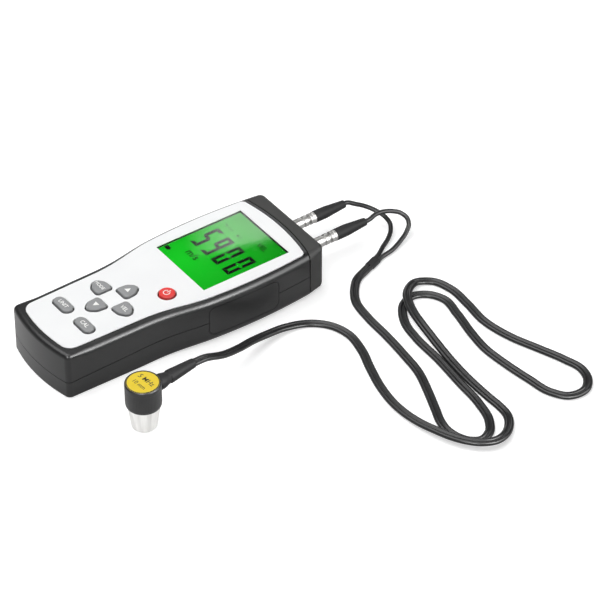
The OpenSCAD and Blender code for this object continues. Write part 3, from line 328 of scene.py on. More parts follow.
# Twin cable: two round leads 3.1 mm across, side by side with a groove between them. Its route lies on the table or
# over itself, and each end runs a little way inside its boot or joiner.
table_z, lowest_z, cord_tuck = 1.6, 1.58, 2
lobe = np.radians(np.linspace(-150, 150, 17))
twin_section = 1.55 * unit(lobe) + [1.6, 0]
twin_section = np.vstack([twin_section, -twin_section])


def from_probe(along, z):
    """A point so far from the middle of the probe along its lead."""
    return [*(np.array([probe_x, probe_y]) + along * probe_lead_way[:2]), z]


def lying(points):
    """Points of the cable on the table."""
    return [[x, y, table_z] for x, y in points]


twin_points = [
    from_probe(probe_boot_end - cord_tuck, probe_lead_z), from_probe(probe_boot_end + 7, probe_lead_z - 1),
    [73.6, -5.5, 20], [69.1, 9.5, 14.8], [63.4, 24.2, 10], [60, 38.8, 6.3], [58.3, 53.2, 3.4],
    *lying([[62.5, 70.3], [73.3, 80.8], [86.5, 84.7], [103.8, 82.3], [122.6, 75.8], [141.8, 70.1]]),
    [159.4, 67.3, 1.8], [183.3, 68.3, 3.2], [198, 71.7, 4.6], [208.4, 75.7, 4.9], [216.9, 81, 4.9], [223.4, 87.3, 4.9],
    [227.3, 96.3, 4.6], [225.6, 104.6, 3.6], [220, 112.5, 2.4],
    *lying([[209.9, 119.3], [200.2, 120.6], [190.7, 120.4], [174.5, 120.6], [158.9, 121.6]]),
    [143.9, 123.3, 1.8], [131.7, 124.8, 2.6], [118.7, 126.5, 3.8], [108.7, 127.8, 4.8], [97.4, 130.1, 5.2],
    [86.9, 133.9, 5.2], [80.4, 137.5, 5.2], [74.2, 143.8, 4.2], [70.2, 152.7, 2.6],
    *lying([[75.2, 162.9], [88.2, 167.8], [107, 167.3], [127, 165.2], [149.6, 168.9], [169.2, 176.1], [188.2, 183.1],
            [202.7, 186.4], [212.8, 183.2], [219.8, 175], [218.5, 163.2], [208.7, 155.8], [190.5, 152.3],
            [167.2, 149.3], [150.4, 148.4], [133.1, 150.7], [111.8, 155.3], [94, 157.5], [83.9, 151.6], [79.6, 142.8],
            [83.5, 132.2], [90.7, 126.1], [99.4, 121.7], [115.8, 118.4], [140.9, 117], [166.9, 114.1], [191.1, 111.5],
            [207.3, 106.7], [216.6, 99.1], [219, 91.6], [215.3, 85.2], [207.5, 80.8], [198.3, 79.5], [189.2, 81.3],
            [180.2, 85], [161.4, 92.6], [144, 98.7], [125.1, 101.6], [101.7, 104], [80.2, 105.3], [61.9, 108.9],
            [50.6, 116.4], [44.1, 123.2]]),
    at_joiner(-joiner_l / 2 - 5, 0), at_joiner(cord_tuck - joiner_l / 2, 0)]
twin_route, twin_l = smooth_route(twin_points, 1.0)
twin_route[:, 2] = np.maximum(twin_route[:, 2], lowest_z)
twin = skin("twin_cable_jacket", carried(twin_section, twin_route), crisp=80)
dress(twin, jacket_pvc, "gauge", "cord_rubber", "twin_cable")

# The two leads, each from the joiner up to its boot.
lead_section, lead_apart, lead_end_y = 1.6 * unit(round_angle)[::2], 1.6, boot_y + boot_l - cord_tuck
lead_points = {
    "left": [at_joiner(joiner_l / 2 - cord_tuck, -lead_apart), at_joiner(joiner_l / 2 + 4, -lead_apart),
             [26.6, 157.9, 2.2], [22.1, 165.8, 3.2], [17.5, 171.2, 4.6], [13.2, 173.8, 6.4], [8, 173.6, 8.8],
             [1.3, 169.9, 12], [-3.7, 165.8, 14], [-8.3, 160.4, 15.6],
             [-12, 155.65, socket_z], [-12, lead_end_y, socket_z]],
    "right": [at_joiner(joiner_l / 2 - cord_tuck, lead_apart), at_joiner(joiner_l / 2 + 4, lead_apart),
              [32.9, 161.2, 2.2], [29.4, 170.5, 3.2], [25.6, 178.5, 5], [22.5, 182.8, 7.4], [18.8, 184, 10],
              [15.1, 181.5, 13], [12.8, 176.1, 15.6], [10.8, 169.1, 17], [10.4, 163.4, 17],
              [12, 156.65, socket_z], [12, lead_end_y, socket_z]]}
for side, points in lead_points.items():
    lead_route, lead_l = smooth_route(points, 0.6)
    lead = skin(f"lead_jacket_{side}", carried(lead_section, lead_route), crisp=80)
    dress(lead, jacket_pvc, "gauge", "cord_rubber", f"lead_{side}")

# ---------------------------------------------------------------- Case
# Two half shells injection moulded in black ABS, closed at the head by a grey cap that pushes in. The plan is
# a straight grip eased into a barrel-sided head, and the edges are rounded more at the top than under the grip.
near_y, far_y, seam_side_y, shell_top_z = -102.0, 102.0, 88.0, 34.8
corner_x, corner_y, end_r, corner_r = 28.75, -94.38, 120.0, 4.0


def ease(t):
    """Smooth step: three times the square less twice the cube, flat at 0 and 1."""
    t = np.clip(t, 0, 1)
    return t * t * (3 - 2 * t)


def waist(y):
    """How much of the head's form holds at y: 0 along the grip, 1 along the head."""
    return ease((y + 45) / 55)


def half_width(y):
    """Half-width of the case: the straight slanted grip mixed with the head's arc by the waist."""
    grip, head = 32.75 + 0.02 * (y - corner_y), 41.6 - (y - 45) ** 2 / (2 * 394)
    return grip + (head - grip) * waist(y)


def arc(middle, radius, begin, end, steps):
    """Points on a circle about middle, from one angle to another in degrees."""
    return np.array(middle) + radius * unit(np.radians(np.linspace(begin, end, steps)))


def both_sides(half):
    """A right half, from the keypad end to the far end, joined by its mirror image into a closed outline."""
    return np.vstack([half, (half * [-1, 1])[::-1][half[::-1, 0] > 1e-6]])


def inward(outline):
    """Step of one millimetre inwards at each point: the mitre of the two edges that meet there."""
    edge = np.roll(outline, -1, 0) - outline
    edge /= np.linalg.norm(edge, axis=1)[:, None]
    normal = np.stack([-edge[:, 1], edge[:, 0]], 1)
    before = np.roll(normal, 1, 0)
    return (normal + before) / (1 + (normal * before).sum(1))[:, None]


end_turn = np.degrees(np.arcsin(corner_x / (end_r - corner_r)))
arc_steps, side_steps, cap_corner_r = 14, 120, 5
side_y = np.linspace(corner_y, seam_side_y, side_steps)[1:]
cap_tip = np.array([35.5, far_y])
cap_back = np.array([half_width(seam_side_y), seam_side_y]) - cap_tip
cap_back /= np.linalg.norm(cap_back)
cap_half_turn = np.degrees(np.arccos(-cap_back[0])) / 2
cap_bisector = cap_back + [-1, 0]
cap_inset = cap_corner_r / np.sin(np.radians(cap_half_turn))
cap_middle = cap_tip + cap_bisector / np.linalg.norm(cap_bisector) * cap_inset
case_half = np.vstack([
    arc([0, near_y + end_r], end_r, -90, -90 + end_turn, arc_steps),
    arc([corner_x, corner_y], corner_r, -90 + end_turn, 0, arc_steps)[1:],
    np.stack([half_width(side_y), side_y], 1),
    arc(cap_middle, cap_corner_r, 2 * cap_half_turn - 90, 90, 12)])
case_plan = both_sides(case_half)
case_in = inward(case_plan)

# Edge radii along the case, held inside the radii of its upright corners.
plan_y = case_plan[:, 1]
cap_part = np.clip((plan_y - seam_side_y) / (far_y - seam_side_y), 0, 1)
top_r = 3.4 + 2.1 * ease((plan_y - corner_y) / 16)
top_r = (top_r + (2.2 - top_r) * cap_part)[:, None]
base_r = 1 + 4 * waist(plan_y)
base_r = (base_r + (4.2 - base_r) * cap_part)[:, None]


def edge_ring(turn, radius, top):
    """Ring of the case on its rounded lower or upper edge: a quarter circle drawn inwards and up."""
    turn = np.radians(turn)
    if top:
        level, step = shell_top_z - radius * (1 - np.sin(turn)), radius * (1 - np.cos(turn))
    else:
        level, step = radius * (1 - np.cos(turn)), radius * (1 - np.sin(turn))
    return np.hstack([case_plan + step * case_in, level])


def case_body(name):
    """The whole rounded body as one closed skin from the foot to the rim."""
    return skin(name, np.array([edge_ring(a, base_r, False) for a in np.linspace(0, 90, 9)]
                               + [edge_ring(a, top_r, True) for a in np.linspace(0, 90, 13)]))


def stacked(name, plans):
    """Skin over plans of equal count, each level at its own height."""
    return skin(name, np.array([np.column_stack([plan, np.full(len(plan), z)]) for plan, z in plans]))


def prism(outlines, low, high, axis="z"):
    """Closed block for cutting: counter-clockwise outlines carried from low to high along an axis. Their two
    coordinates are x and y for z, y and z for x, and z and x for y."""
    points, faces, base = [], [], 0
    for outline in outlines:
        n = len(outline)
        block = np.column_stack([np.vstack([outline, outline]), np.repeat([low, high], n)])
        points.append(np.roll(block, {"z": 0, "x": 1, "y": 2}[axis], 1))
        i, j = np.arange(n) + base, (np.arange(n) + 1) % n + base
        faces += np.stack([i, j, j + n, i + n], 1).tolist() + [i[::-1].tolist(), (i + n).tolist()]
        base += 2 * n
    return put("cutter", np.vstack(points), faces)


def carve(piece, how, *tools):
    """Cuts, joins or keeps the common part of a piece and each closed tool, and removes the tools."""
    for tool in tools:
        step = piece.modifiers.new("carve", "BOOLEAN")
        step.operation, step.object, step.solver = how, tool, "MANIFOLD"
        made = bpy.data.meshes.new_from_object(piece.evaluated_get(bpy.context.evaluated_depsgraph_get()))
        piece.modifiers.clear()
        old, piece.data = piece.data, made
        bpy.data.meshes.remove(old)
        bpy.data.objects.remove(tool)
    return piece


def smooth_flats(piece, crisp=30):
    """Smooth shading that keeps large flat faces flat beside their rounded edges."""
    piece.data.shade_smooth()
    piece.data.set_sharp_from_angle(angle=np.radians(crisp))
    piece.modifiers.new("even shading", "WEIGHTED_NORMAL").keep_sharp = True
    return piece


def rounded_box(middle, length, height, radius):
    """Outline of a rectangle with round corners."""
    a, b = length / 2 - radius, height / 2 - radius
    corners = [((a, -b), -90), ((a, b), 0), ((-a, b), 90), ((-a, -b), 180)]
    return np.vstack([arc(np.array(middle) + c, radius, turn, turn + 90, 9) for c, turn in corners])


def rectangle(middle, width, length):
    """Outline of a plain rectangle."""
    return np.array(middle) + np.array([[-1, -1], [1, -1], [1, 1], [-1, 1]]) * [width / 2, length / 2]


def discs(places, radius):
    """A circle at each place."""
    return [arc(p, radius, 0, 352.5, 48) for p in places]


roof_z, panel_z, wall = 31.6, 33.4, 2.2
seam_r, seam_mid_y = 156.0, 92.82
seam_circle = unit(np.radians(np.arange(360)))


def before_seam(step):
    """Everything on the near side of the bowed seam, moved out by step."""
    return prism([seam_circle * (seam_r + step) + [0, seam_mid_y - seam_r]], -50, 90)


def parting_band(low, high):
    """Slab that follows the parting line, level along the head and sloping down along the grip."""
    line = np.array([[-300, 12.5], [near_y, 12.5], [10, 17.3], [300, 17.3]])
    return prism([np.vstack([line + [0, low], (line + [0, high])[::-1]])], -90, 90, "x")


def parting_groove():
    """Fine groove round the outside on the parting line: a thin slab less the core of the body."""
    return carve(parting_band(-0.22, 0.22), "DIFFERENCE", prism([case_plan + 0.75 * case_in], -9, 50))


case_screws = [[s * x, y] for s in (-1, 1) for x, y in ((23.75, -92.5), (half_width(70.0) - 6.4, 70.0))]
board_screws = [[s * x, y] for s in (-1, 1) for x, y in ((21.75, -83.0), (29.0, 4.15))]
boss_r, thread_r = 3.2, 1.4
side_middle, side_l, side_h, side_corner, side_gap, side_flange = (34.0, 17.6), 54.0, 22.0, 4.5, 0.35, 1.5
side_opening = rounded_box(side_middle, side_l + 2 * side_gap, side_h + 2 * side_gap, side_corner + side_gap)
window_w, window_l = 54.2, 66.5

# Key middles, turns in degrees, and plans: each plan is the hull of a few circles (x, y, radius).
petal = [[-3.6, -4.0, 2.6], [3.6, -4.0, 2.6], [0, -0.5, 5.9], [0, 2.6, 4.0]]
capsule = [[-4.5, 0, 4.3], [4.5, 0, 4.3]]
keys = {"power": ((17, -10.5), 0, [[0, 0, 5.8]]), "up": ((0, -29), 0, petal), "down": ((0, -55.2), 180, petal),
        "left": ((-14.5, -42.1), 90, petal), "right": ((14.5, -42.1), -90, petal),
        "lower_left": ((-12.6, -71.4), 0, capsule), "lower_right": ((12.6, -71.4), 0, capsule)}
key_angle = np.linspace(0, 2 * np.pi, 96, endpoint=False)


def key_outline(name, grow):
    """Hull of a key's circles, grown: the farthest circle point in each direction, with its middle and turn."""
    middle, turn, circles = keys[name]
    circles = np.array(circles, float)
    way = unit(key_angle)
    best = (way @ circles[:, :2].T + circles[:, 2]).argmax(1)
    plan = circles[best, :2] + way * (circles[best, 2] + grow)[:, None]
    turn = np.radians(turn)
    spin = np.array([[np.cos(turn), np.sin(turn)], [-np.sin(turn), np.cos(turn)]])
    return plan @ spin + middle


def key_holes(grow):
    """The outlines of all keys, grown by the gap round them."""
    return [key_outline(name, grow) for name in keys]


# Panel recess: parallel to the sides, bowed at both ends, with round corners.
grip_rim, head_rim, end_rim, seam_rim, panel_near_corner, panel_far_corner = 5.5, 4.0, 6.0, 2.4, 8.0, 4.0
panel_near_r, panel_near_mid = end_r - end_rim, near_y + end_r
panel_far_r, panel_far_mid = seam_r - seam_rim, seam_mid_y - seam_r
panel_near_x = half_width(near_y + end_rim + panel_near_corner) - grip_rim - panel_near_corner
panel_far_x = half_width(seam_side_y - seam_rim - panel_far_corner) - head_rim - panel_far_corner
panel_near_y = panel_near_mid - np.sqrt((panel_near_r - panel_near_corner) ** 2 - panel_near_x ** 2)
panel_far_y = panel_far_mid + np.sqrt((panel_far_r - panel_far_corner) ** 2 - panel_far_x ** 2)


def panel_plan(step):
    """Outline of the face panel drawn in by step."""
    near_turn = np.degrees(np.arcsin(panel_near_x / (panel_near_r - panel_near_corner)))
    far_turn = np.degrees(np.arcsin(panel_far_x / (panel_far_r - panel_far_corner)))
    y = np.linspace(panel_near_y, panel_far_y, 90)[1:-1]
    return both_sides(np.vstack([
        arc([0, panel_near_mid], panel_near_r - step, -90, -90 + near_turn, 16),
        arc([panel_near_x, panel_near_y], panel_near_corner - step, -90 + near_turn, 0, 14)[1:],
        np.stack([half_width(y) - grip_rim + (grip_rim - head_rim) * waist(y) - step, y], 1),
        arc([panel_far_x, panel_far_y], panel_far_corner - step, 0, 90 - far_turn, 12),
        arc([0, panel_far_mid], panel_far_r - step, 90 - far_turn, 90, 24)[1:]]))


# Moulded ABS: near-black with a spark-eroded texture about 0.6 mm across and a soft sheen, a little shinier where it
# has been handled.
black_abs = moulded("moulded_black_ABS", (0.6, 4, 0.04, 0.3), 18, ("#1c1c1d", "#252526"), (0.28, 0.36), IOR=1.54,
                    Specular_IOR_Level=0.38)

front = case_body("front_shell")
carve(front, "DIFFERENCE", prism([case_plan + wall * case_in], wall, roof_z))
carve(front, "UNION", prism(discs(case_screws, boss_r), 10.5, 32.1), prism(discs(board_screws, 2.6), 26.0, 32.1))
carve(front, "INTERSECT", before_seam(-0.15))
carve(front, "DIFFERENCE", parting_band(-80, 0), parting_groove(), prism([panel_plan(-0.3)], panel_z, 40),
      prism([rectangle(window_middle[:2], window_w, window_l), *key_holes(0.3)], roof_z - 1, 35),
      prism(discs(case_screws, thread_r), 0, 21.6), prism(discs(board_screws, 1.0), 25.0, 30.5),
      prism([side_opening], 0, 90, "x"))
dress(smooth_flats(front), black_abs, "gauge", "case_plastic", "front_case")

# Lower shell: the same body below the parting, with the moulded battery bay.
bay_y, bay_w, bay_l, bay_top_z, bay_wall = -50.0, 44.5, 49.2, 13.3, 1.5
bay_middle = (0.0, bay_y)
tab_x, tab_w, latch_w, catch_gap = 13, 6, 10, 0.4
rear = case_body("rear_shell")
carve(rear, "DIFFERENCE", prism([case_plan + wall * case_in], wall, roof_z))
carve(rear, "UNION", prism(discs(case_screws, boss_r), 1.1, 18.4))
carve(rear, "INTERSECT", before_seam(0), parting_band(-80, 0))
bay_outside = rectangle(bay_middle, bay_w + 2 * bay_wall, bay_l + 2 * bay_wall)
carve(rear, "UNION", prism([bay_outside], 1.1, bay_top_z + bay_wall))
carve(rear, "DIFFERENCE", parting_groove(), prism([rectangle(bay_middle, bay_w, bay_l)], -1, bay_top_z),
      prism([rectangle((s * tab_x, bay_y - bay_l / 2 - 0.75), tab_w + catch_gap, 3.5) for s in (-1, 1)]
            + [rectangle((0, bay_y + bay_l / 2 + 0.75), latch_w + catch_gap, 3.5)], wall, wall + 1.6),
      prism(discs(case_screws, 2.8), -1, 4.6), prism(discs(case_screws, thread_r), -1, 18.3),
      prism([side_opening], 0, 90, "x"))
dress(smooth_flats(rear), black_abs, "gauge", "case_plastic", "rear_case")

# Battery door: a plate with two fixed tabs at the keypad end, a springy latch at the other and a ribbed thumb grip.
door_w, door_l, door_t = bay_w - 0.5, bay_l - 0.5, 1.8
tab_low, tab_high, tab_y, latch_y = 2.4, 3.6, bay_y - door_l / 2, bay_y + door_l / 2
door = stacked("battery_bay_door", [(rounded_box(bay_middle, door_w - 2 * step, door_l - 2 * step, 0.6), z)
                                    for step, z in ((0.3, 0), (0.09, 0.09), (0, 0.3), (0, door_t))])
carve(door, "UNION",
      prism([rectangle((s * tab_x, tab_y + 0.45), tab_w, 0.9) for s in (-1, 1)]
            + [rectangle((0, latch_y - 0.45), latch_w, 0.9)], door_t / 2, tab_high - 0.1),
      prism([rectangle((s * tab_x, tab_y - 0.1), tab_w, 2.0) for s in (-1, 1)]
            + [rectangle((0, latch_y - 0.1), latch_w, 1.6)], tab_low, tab_high))
grips, grip_pitch = 5, 1.8
carve(door, "DIFFERENCE",
      prism([rounded_box((0, latch_y - 4 - grip_pitch * k), 16, 0.9, 0.4) for k in range(grips)], -1, 0.6))
dress(smooth_flats(door), black_abs, "gauge", "case_plastic", "battery_door")

# Flush cover in the right side, cut from the same body, trapped behind the shells by its flange.
side_reach = side_l / 2 + side_flange
side_inner_x = min(half_width(side_middle[0] - side_reach), half_width(side_middle[0] + side_reach)) - wall
cover = case_body("flush_side_cover")
carve(cover, "INTERSECT", prism([rounded_box(side_middle, side_l, side_h, side_corner)], side_inner_x - 1.6, 90, "x"))
flange = rounded_box(side_middle, side_l + 2 * side_flange, side_h + 2 * side_flange, side_corner + side_flange)
carve(cover, "UNION", prism([flange], side_inner_x - 1.6, side_inner_x - 0.2, "x"))
dress(smooth_flats(cover), black_abs, "gauge", "case_plastic", "side_cover")

# End cap in a dull grey polyamide: a coarser, drier texture, 0.8 mm across, than the shells have.
grey_nylon = moulded("moulded_grey_nylon", (0.8, 4, 0.08, 0.35), 10, ("#2f2f2e", "#3b3b3a"), (0.52, 0.66), IOR=1.53,
                     Specular_IOR_Level=0.3)
lip_out, lip_in = 2.4, 4.0


def cap_inside(step):
    """Plan of the head drawn in by step, from half way along the sides, with the cap's corner kept sharp."""
    side_normal = np.array([cap_back[1], -cap_back[0]])
    tip_in = (side_normal + [0, -1]) / (1 - side_normal[1])
    side_begin = 2 * arc_steps - 1
    first, last = side_begin + side_steps // 2, side_begin + len(side_y)
    half = np.vstack([case_plan[first:last] + step * case_in[first:last], cap_tip + step * tip_in])
    return np.vstack([half, (half * [-1, 1])[::-1]])


cap = carve(case_body("head_end_cap"), "DIFFERENCE", before_seam(0.65))
lip = carve(prism([cap_inside(lip_out)], wall, roof_z - 0.2), "DIFFERENCE", before_seam(-4))
carve(cap, "UNION", lip)
carve(cap, "DIFFERENCE", prism([cap_inside(lip_in)], lip_in, roof_z - 1.8),
      prism(discs([(socket_z, x) for x in socket_x.values()], 3.6), 88, 116, "y"))
dress(smooth_flats(cap), grey_nylon, "gauge", "cap_plastic", "end_cap")

# ---------------------------------------------------------------- Face panel
# White polycarbonate plate let flush into the front shell and glued, with openings for the window and keys.

# Satin polycarbonate: clean white with a soft eggshell gloss and a texture about 0.5 mm across.
white_panel = moulded("satin_white_polycarbonate", (0.5, 3, 0.02, 0.2), 25, ("#eff0f1", "#f5f6f6"), (0.3, 0.42), 2,
                      IOR=1.58)

panel_steps = [(0, panel_z), (0, 34.7), (0.08, 34.88), (0.3, 35.0)]
panel = stacked("white_face_panel", [(panel_plan(step), z) for step, z in panel_steps])
sight_rim, panel_key_gap = 1.5, 0.6
sight = rectangle(window_middle[:2], window_w + sight_rim, window_l + sight_rim)
carve(panel, "DIFFERENCE", prism([sight, *key_holes(panel_key_gap)], 33, 36))
dress(smooth_flats(panel), white_panel, "gauge", "panel_white", "face_panel")

# ---------------------------------------------------------------- Display
# Backlit liquid crystal cell under a flush clear acrylic window; it shows the sound velocity of steel.


def give_finish(material, *nodes):
    """Gives a finish to pieces that keep their own solids."""
    for node in nodes:
        for material_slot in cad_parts[node].material_slots:
            material_slot.material = material


# Cast acrylic: clear and flat with a sharp gloss, faintly smeared over about 20 mm.
clear_acrylic, tree, shine, place = start("clear_cast_acrylic", Base_Color=paint("#fbfffb"), IOR=1.35,
                                          Transmission_Weight=1.0)
smear = add(tree, "ShaderNodeTexNoise", {"Vector": place, "Scale": 1 / 0.02, "Detail": 3})
add(tree, "ShaderNodeMapRange", {"Value": smear, "To Min": 0.01, "To Max": 0.05}, to=shine["Roughness"])
give_finish(clear_acrylic, "display_window")

# Lit cell: saturated green light, brightest about a lamp behind the left of its near edge and fading 65 mm round it.
lit_cell, tree, shine, place = start("backlit_green_liquid_crystal", Base_Color=(0, 0, 0, 1), Emission_Strength=1.0,
                                     Specular_IOR_Level=0.0)
lamp_x, lamp_y, glow = -0.008, 0.016, 0.065
spread = add(tree, "ShaderNodeMapping", {"Vector": place, "Location": (-lamp_x / glow, -lamp_y / glow, 0),
                                         "Scale": (1 / glow, 1 / glow, 0)})
spot = add(tree, "ShaderNodeTexGradient", {"Vector": spread}, gradient_type="SPHERICAL")
add(tree, "ShaderNodeMix", {0: spot, 6: paint("#00980c"), 7: paint("#08d020")}, to=shine["Emission Color"], out=2,
    data_type="RGBA")
give_finish(lit_cell, "display_cell")

# Dark segments and signs: thin plates between the cell and the window, near-black with a faint green cloud.
dark_crystal, tree, shine, place = start("dark_liquid_crystal", Roughness=0.6, Specular_IOR_Level=0.0)
mottle(tree, shine, place, 3, ("#010201", "#040a05"), detail=2)

# Seven bars of a digit, a to g: mitred uprights and crossbars about the digit's middle, mirrored from two.
half_w, half_h, bar_half, bar_gap = 2.5, 10.15, 1.35, 0.1
upright = np.array([[half_w - bar_half, bar_half + bar_gap], [half_w + bar_half, bar_gap],
                    [half_w + bar_half, half_h + bar_half - bar_gap], [half_w - bar_half, half_h - bar_half - bar_gap]])
top_bar = np.array([[bar_half - half_w + bar_gap, half_h - bar_half], [half_w - bar_half - bar_gap, half_h - bar_half],
                    [half_w + bar_half - bar_gap, half_h + bar_half], [bar_gap - half_w - bar_half, half_h + bar_half]])
mid_bar = np.array([[bar_gap - half_w - bar_half, 0], [bar_half - half_w, -bar_half], [half_w - bar_half, -bar_half],
                    [half_w + bar_half - bar_gap, 0], [half_w - bar_half, bar_half], [bar_half - half_w, bar_half]])
bars = {"a": top_bar, "b": upright, "c": (upright * [1, -1])[::-1], "d": (top_bar * [1, -1])[::-1], "e": -upright,
        "f": (upright * [-1, 1])[::-1], "g": mid_bar}
digits = zip([-17.9, -6.05, 6.2, 19.0], ["afgcd", "abcdfg", "abcdef", "abcdef"])
crystal_z, mark_t = 33.34, 0.04


def marks(name, plans, z, material, body, slot):
    """Flat marks as thin plates about a height."""
    plates = prism(plans, z - mark_t / 2, z + mark_t / 2)
    plates.name = name
    dress(plates, material, body, slot)


digit_bars = [bars[bar] + [middle, window_middle[1]] for middle, lit in digits for bar in lit]
marks("display_digits", digit_bars, crystal_z, dark_crystal, "gauge", "display_glass")


def lettering(name, words, height, middle, z, turn=0, thickness=0.02, weight=0.0):
    """Words as a thin mesh, set level at a middle and height above the table, turned in degrees and made bolder by
    weight on every side."""
    text = bpy.data.curves.new(name, "FONT")
    text.body, text.size, text.extrude = words, height * 0.001, thickness * 0.0005
    text.align_x, text.align_y, text.offset = "CENTER", "CENTER", weight * 0.001
    text.resolution_u = 3
    holder = new_object(name, text)
    mesh = bpy.data.meshes.new_from_object(holder.evaluated_get(bpy.context.evaluated_depsgraph_get()))
    bpy.data.objects.remove(holder)
    mesh.transform(Matrix.Translation(Vector((*middle, z)) * 0.001) @ Matrix.Rotation(np.radians(turn), 4, "Z"))
    return new_object(name, mesh)


for name, words, height, middle in (("display_quantity", "VEL", 5.6, (12.4, 68.0)),
                                    ("display_unit", "m/s", 8.0, (-8, 26.6))):
    sign = lettering(name, words, height, middle, crystal_z, thickness=mark_t, weight=0.1)
    dress(sign, dark_crystal, "gauge", "display_glass")
signs = {"display_battery_sign": [rectangle((-24.3, 17.7), 4.0, 3.2), rectangle((-21.95, 17.7), 0.7, 1.4)],
         "display_coupling_sign": [rectangle((-21.6, 63.4), 2.4, 0.6), rectangle((-20.1, 62.4), 0.6, 2.2),
                                   *[rectangle((-17.6 + 1.8 * k, 62.6), 0.6, 1.6) for k in range(3)],
                                   rectangle((-7.2, 62.3), 1.7, 1.7), rectangle((-4.0, 62.3), 0.6, 1.9)]}
for name, plans in signs.items():
    marks(name, plans, crystal_z, dark_crystal, "gauge", "display_glass")

# ---------------------------------------------------------------- Keys
# Silicone rubber keys in one grey, four petals round a middle and two ovals, with a red power key. Each has a
# flange that keeps it under the case roof and a stem over its dome switch; legends are printed on top.

# Silicone rubber: matt mid grey, slightly waxy, with a grain about 0.4 mm across.
silicone_grain = (0.4, 3, 0.03, 0.3)
grey_silicone = moulded("grey_silicone_rubber", silicone_grain, 5, ("#8a8b8c", "#969798"), (0.52, 0.66), IOR=1.43)

# The same rubber in red for the power key.
red_silicone = moulded("red_silicone_rubber", silicone_grain, 5, ("#dc2b2a", "#ea3c37"), IOR=1.43, Roughness=0.55)

# Legend ink: opaque white screen print, slightly patchy over about 0.8 mm.
white_ink, tree, shine, place = start("white_screen_ink", Roughness=0.5)
mottle(tree, shine, place, 0.8, ("#e9e9e7", "#f8f8f6"), detail=2)

# The cap is drawn in a little from its plan, and its top edge is a quarter round.
key_top_z, flange_z, stem_z, stem_r, flange_out, flange_t = 36.5, 30.4, 28.05, 1.8, 1, 1
key_draw, key_edge_r = 0.35, 0.85
edge_turn = np.radians(np.linspace(0, 90, 7))
edge_steps = [(-key_draw - key_edge_r * (1 - np.cos(a)), key_top_z - key_edge_r * (1 - np.sin(a))) for a in edge_turn]
key_steps = [(flange_out, flange_z), (flange_out, flange_z + flange_t), (-key_draw, flange_z + flange_t), *edge_steps]
for name, (middle, turn, _) in keys.items():
    stem = np.array(middle) + stem_r * unit(np.radians(turn) + key_angle)
    plans = [(stem, stem_z), (stem, flange_z)] + [(key_outline(name, grow), z) for grow, z in key_steps]
    key = smooth_flats(stacked(f"{name}_key_cap", plans), 40)
    rubber, slot = (red_silicone, "key_red") if name == "power" else (grey_silicone, "key_grey")
    dress(key, rubber, f"{name}_key", slot, f"key_{name}")

arrow = np.array([[-2.1, -1.6], [2.1, -1.6], [0, 2.1]])
for name, plan in (("up", arrow + [0, -29.5]), ("down", -arrow + [0, -54.7])):
    marks(f"{name}_legend", [plan], key_top_z, white_ink, f"{name}_key", "key_grey")
for name, words, height in (("left", "MODE", 3.5), ("right", "VEL", 4.2), ("lower_left", "UNIT", 4.0),
                            ("lower_right", "CAL", 4.2)):
    legend = lettering(f"{name}_legend", words, height, keys[name][0], key_top_z, weight=0.05)
    dress(legend, white_ink, f"{name}_key", "key_grey")

# Power sign: an open ring and an upright bar.
power_x, power_y = 17, -10.8
ring_rim = unit(np.radians(np.linspace(120, 420, 40)))
power_ring = np.vstack([2.45 * ring_rim, 1.85 * ring_rim[::-1]]) + [power_x, power_y]
power_bar = rectangle((power_x, power_y + 1.8), 0.6, 3.0)
marks("power_legend", [power_ring, power_bar], key_top_z, white_ink, "power_key", "key_red")

# ---------------------------------------------------------------- Probe
# Dual-element contact probe: a knurled housing of black acetal with a yellow label let into its top, screwed
# on a stainless steel tip that holds the two delay blocks, the barrier, the crystals and their backing.


def at_probe(rings):
    """Rings about the probe's own axis, turned with its lead."""
    turn = np.array([[np.cos(probe_turn), np.sin(probe_turn)], [-np.sin(probe_turn), np.cos(probe_turn)]])
    flat = rings[..., :2] @ turn + [probe_x, probe_y]
    return np.concatenate([flat, rings[..., 2:]], -1)


# Acetal: dark grey and smooth with a waxy sheen, cut marks round it about 1.9 mm apart.
black_acetal, tree, shine, place = start("turned_black_acetal", IOR=1.48)
lathe_marks(tree, shine, place, 0.3, 2, 0.02, 0.25, "Z")
mottle(tree, shine, place, 4, ("#262627", "#333334"), (0.32, 0.46))

# Fine straight knurl: 72 ridges round the upright wall, 0.1 mm deep.
tip_h, label_seat_z, label_z, housing_r, housing_around = 17.2, 34.9, 35.4, 11.85, 432
housing_profile = soften([[0.02, 32.7], [8.1, 32.7], [8.1, tip_h], [11.0, tip_h], [11.6, 18.0], [housing_r, 20.0],
                          [housing_r, 31.8], [housing_r, 34.8], [11.2, 35.5], [11.0, 35.5], [11.0, label_seat_z],
                          [0.02, label_seat_z]], 0.35)
housing_out, housing_up = housing_profile[:, :1], housing_profile[:, 1:]
knurl_part = np.where((housing_out > 11.8) & (housing_up > 19.9) & (housing_up < 31.9), 1, 0)
knurl = 0.05 * (1 + np.cos(72 * np.linspace(0, 2 * np.pi, housing_around, endpoint=False)))
housing = skin("probe_knurled_housing", at_probe(turned(housing_profile, housing_around, knurl_part * knurl)))
dress(smooth_flats(housing, 40), black_acetal, "gauge", "probe_plastic", "probe_housing")

# Label: printed vinyl, warm yellow, faintly mottled, with a thin dark ring and plain test values.
yellow_vinyl, tree, shine, place = start("printed_yellow_vinyl")
mottle(tree, shine, place, 3, ("#e2c314", "#ebd026"), (0.34, 0.46))
label_profile = soften([[0.02, label_seat_z], [10.9, label_seat_z], [10.9, 35.35], [10.75, label_z], [0.02, label_z]],
                       0.08)
label = skin("probe_top_label", at_probe(turned(label_profile, 120)))
dress(smooth_flats(label), yellow_vinyl, "gauge", "label_yellow", "probe_label")

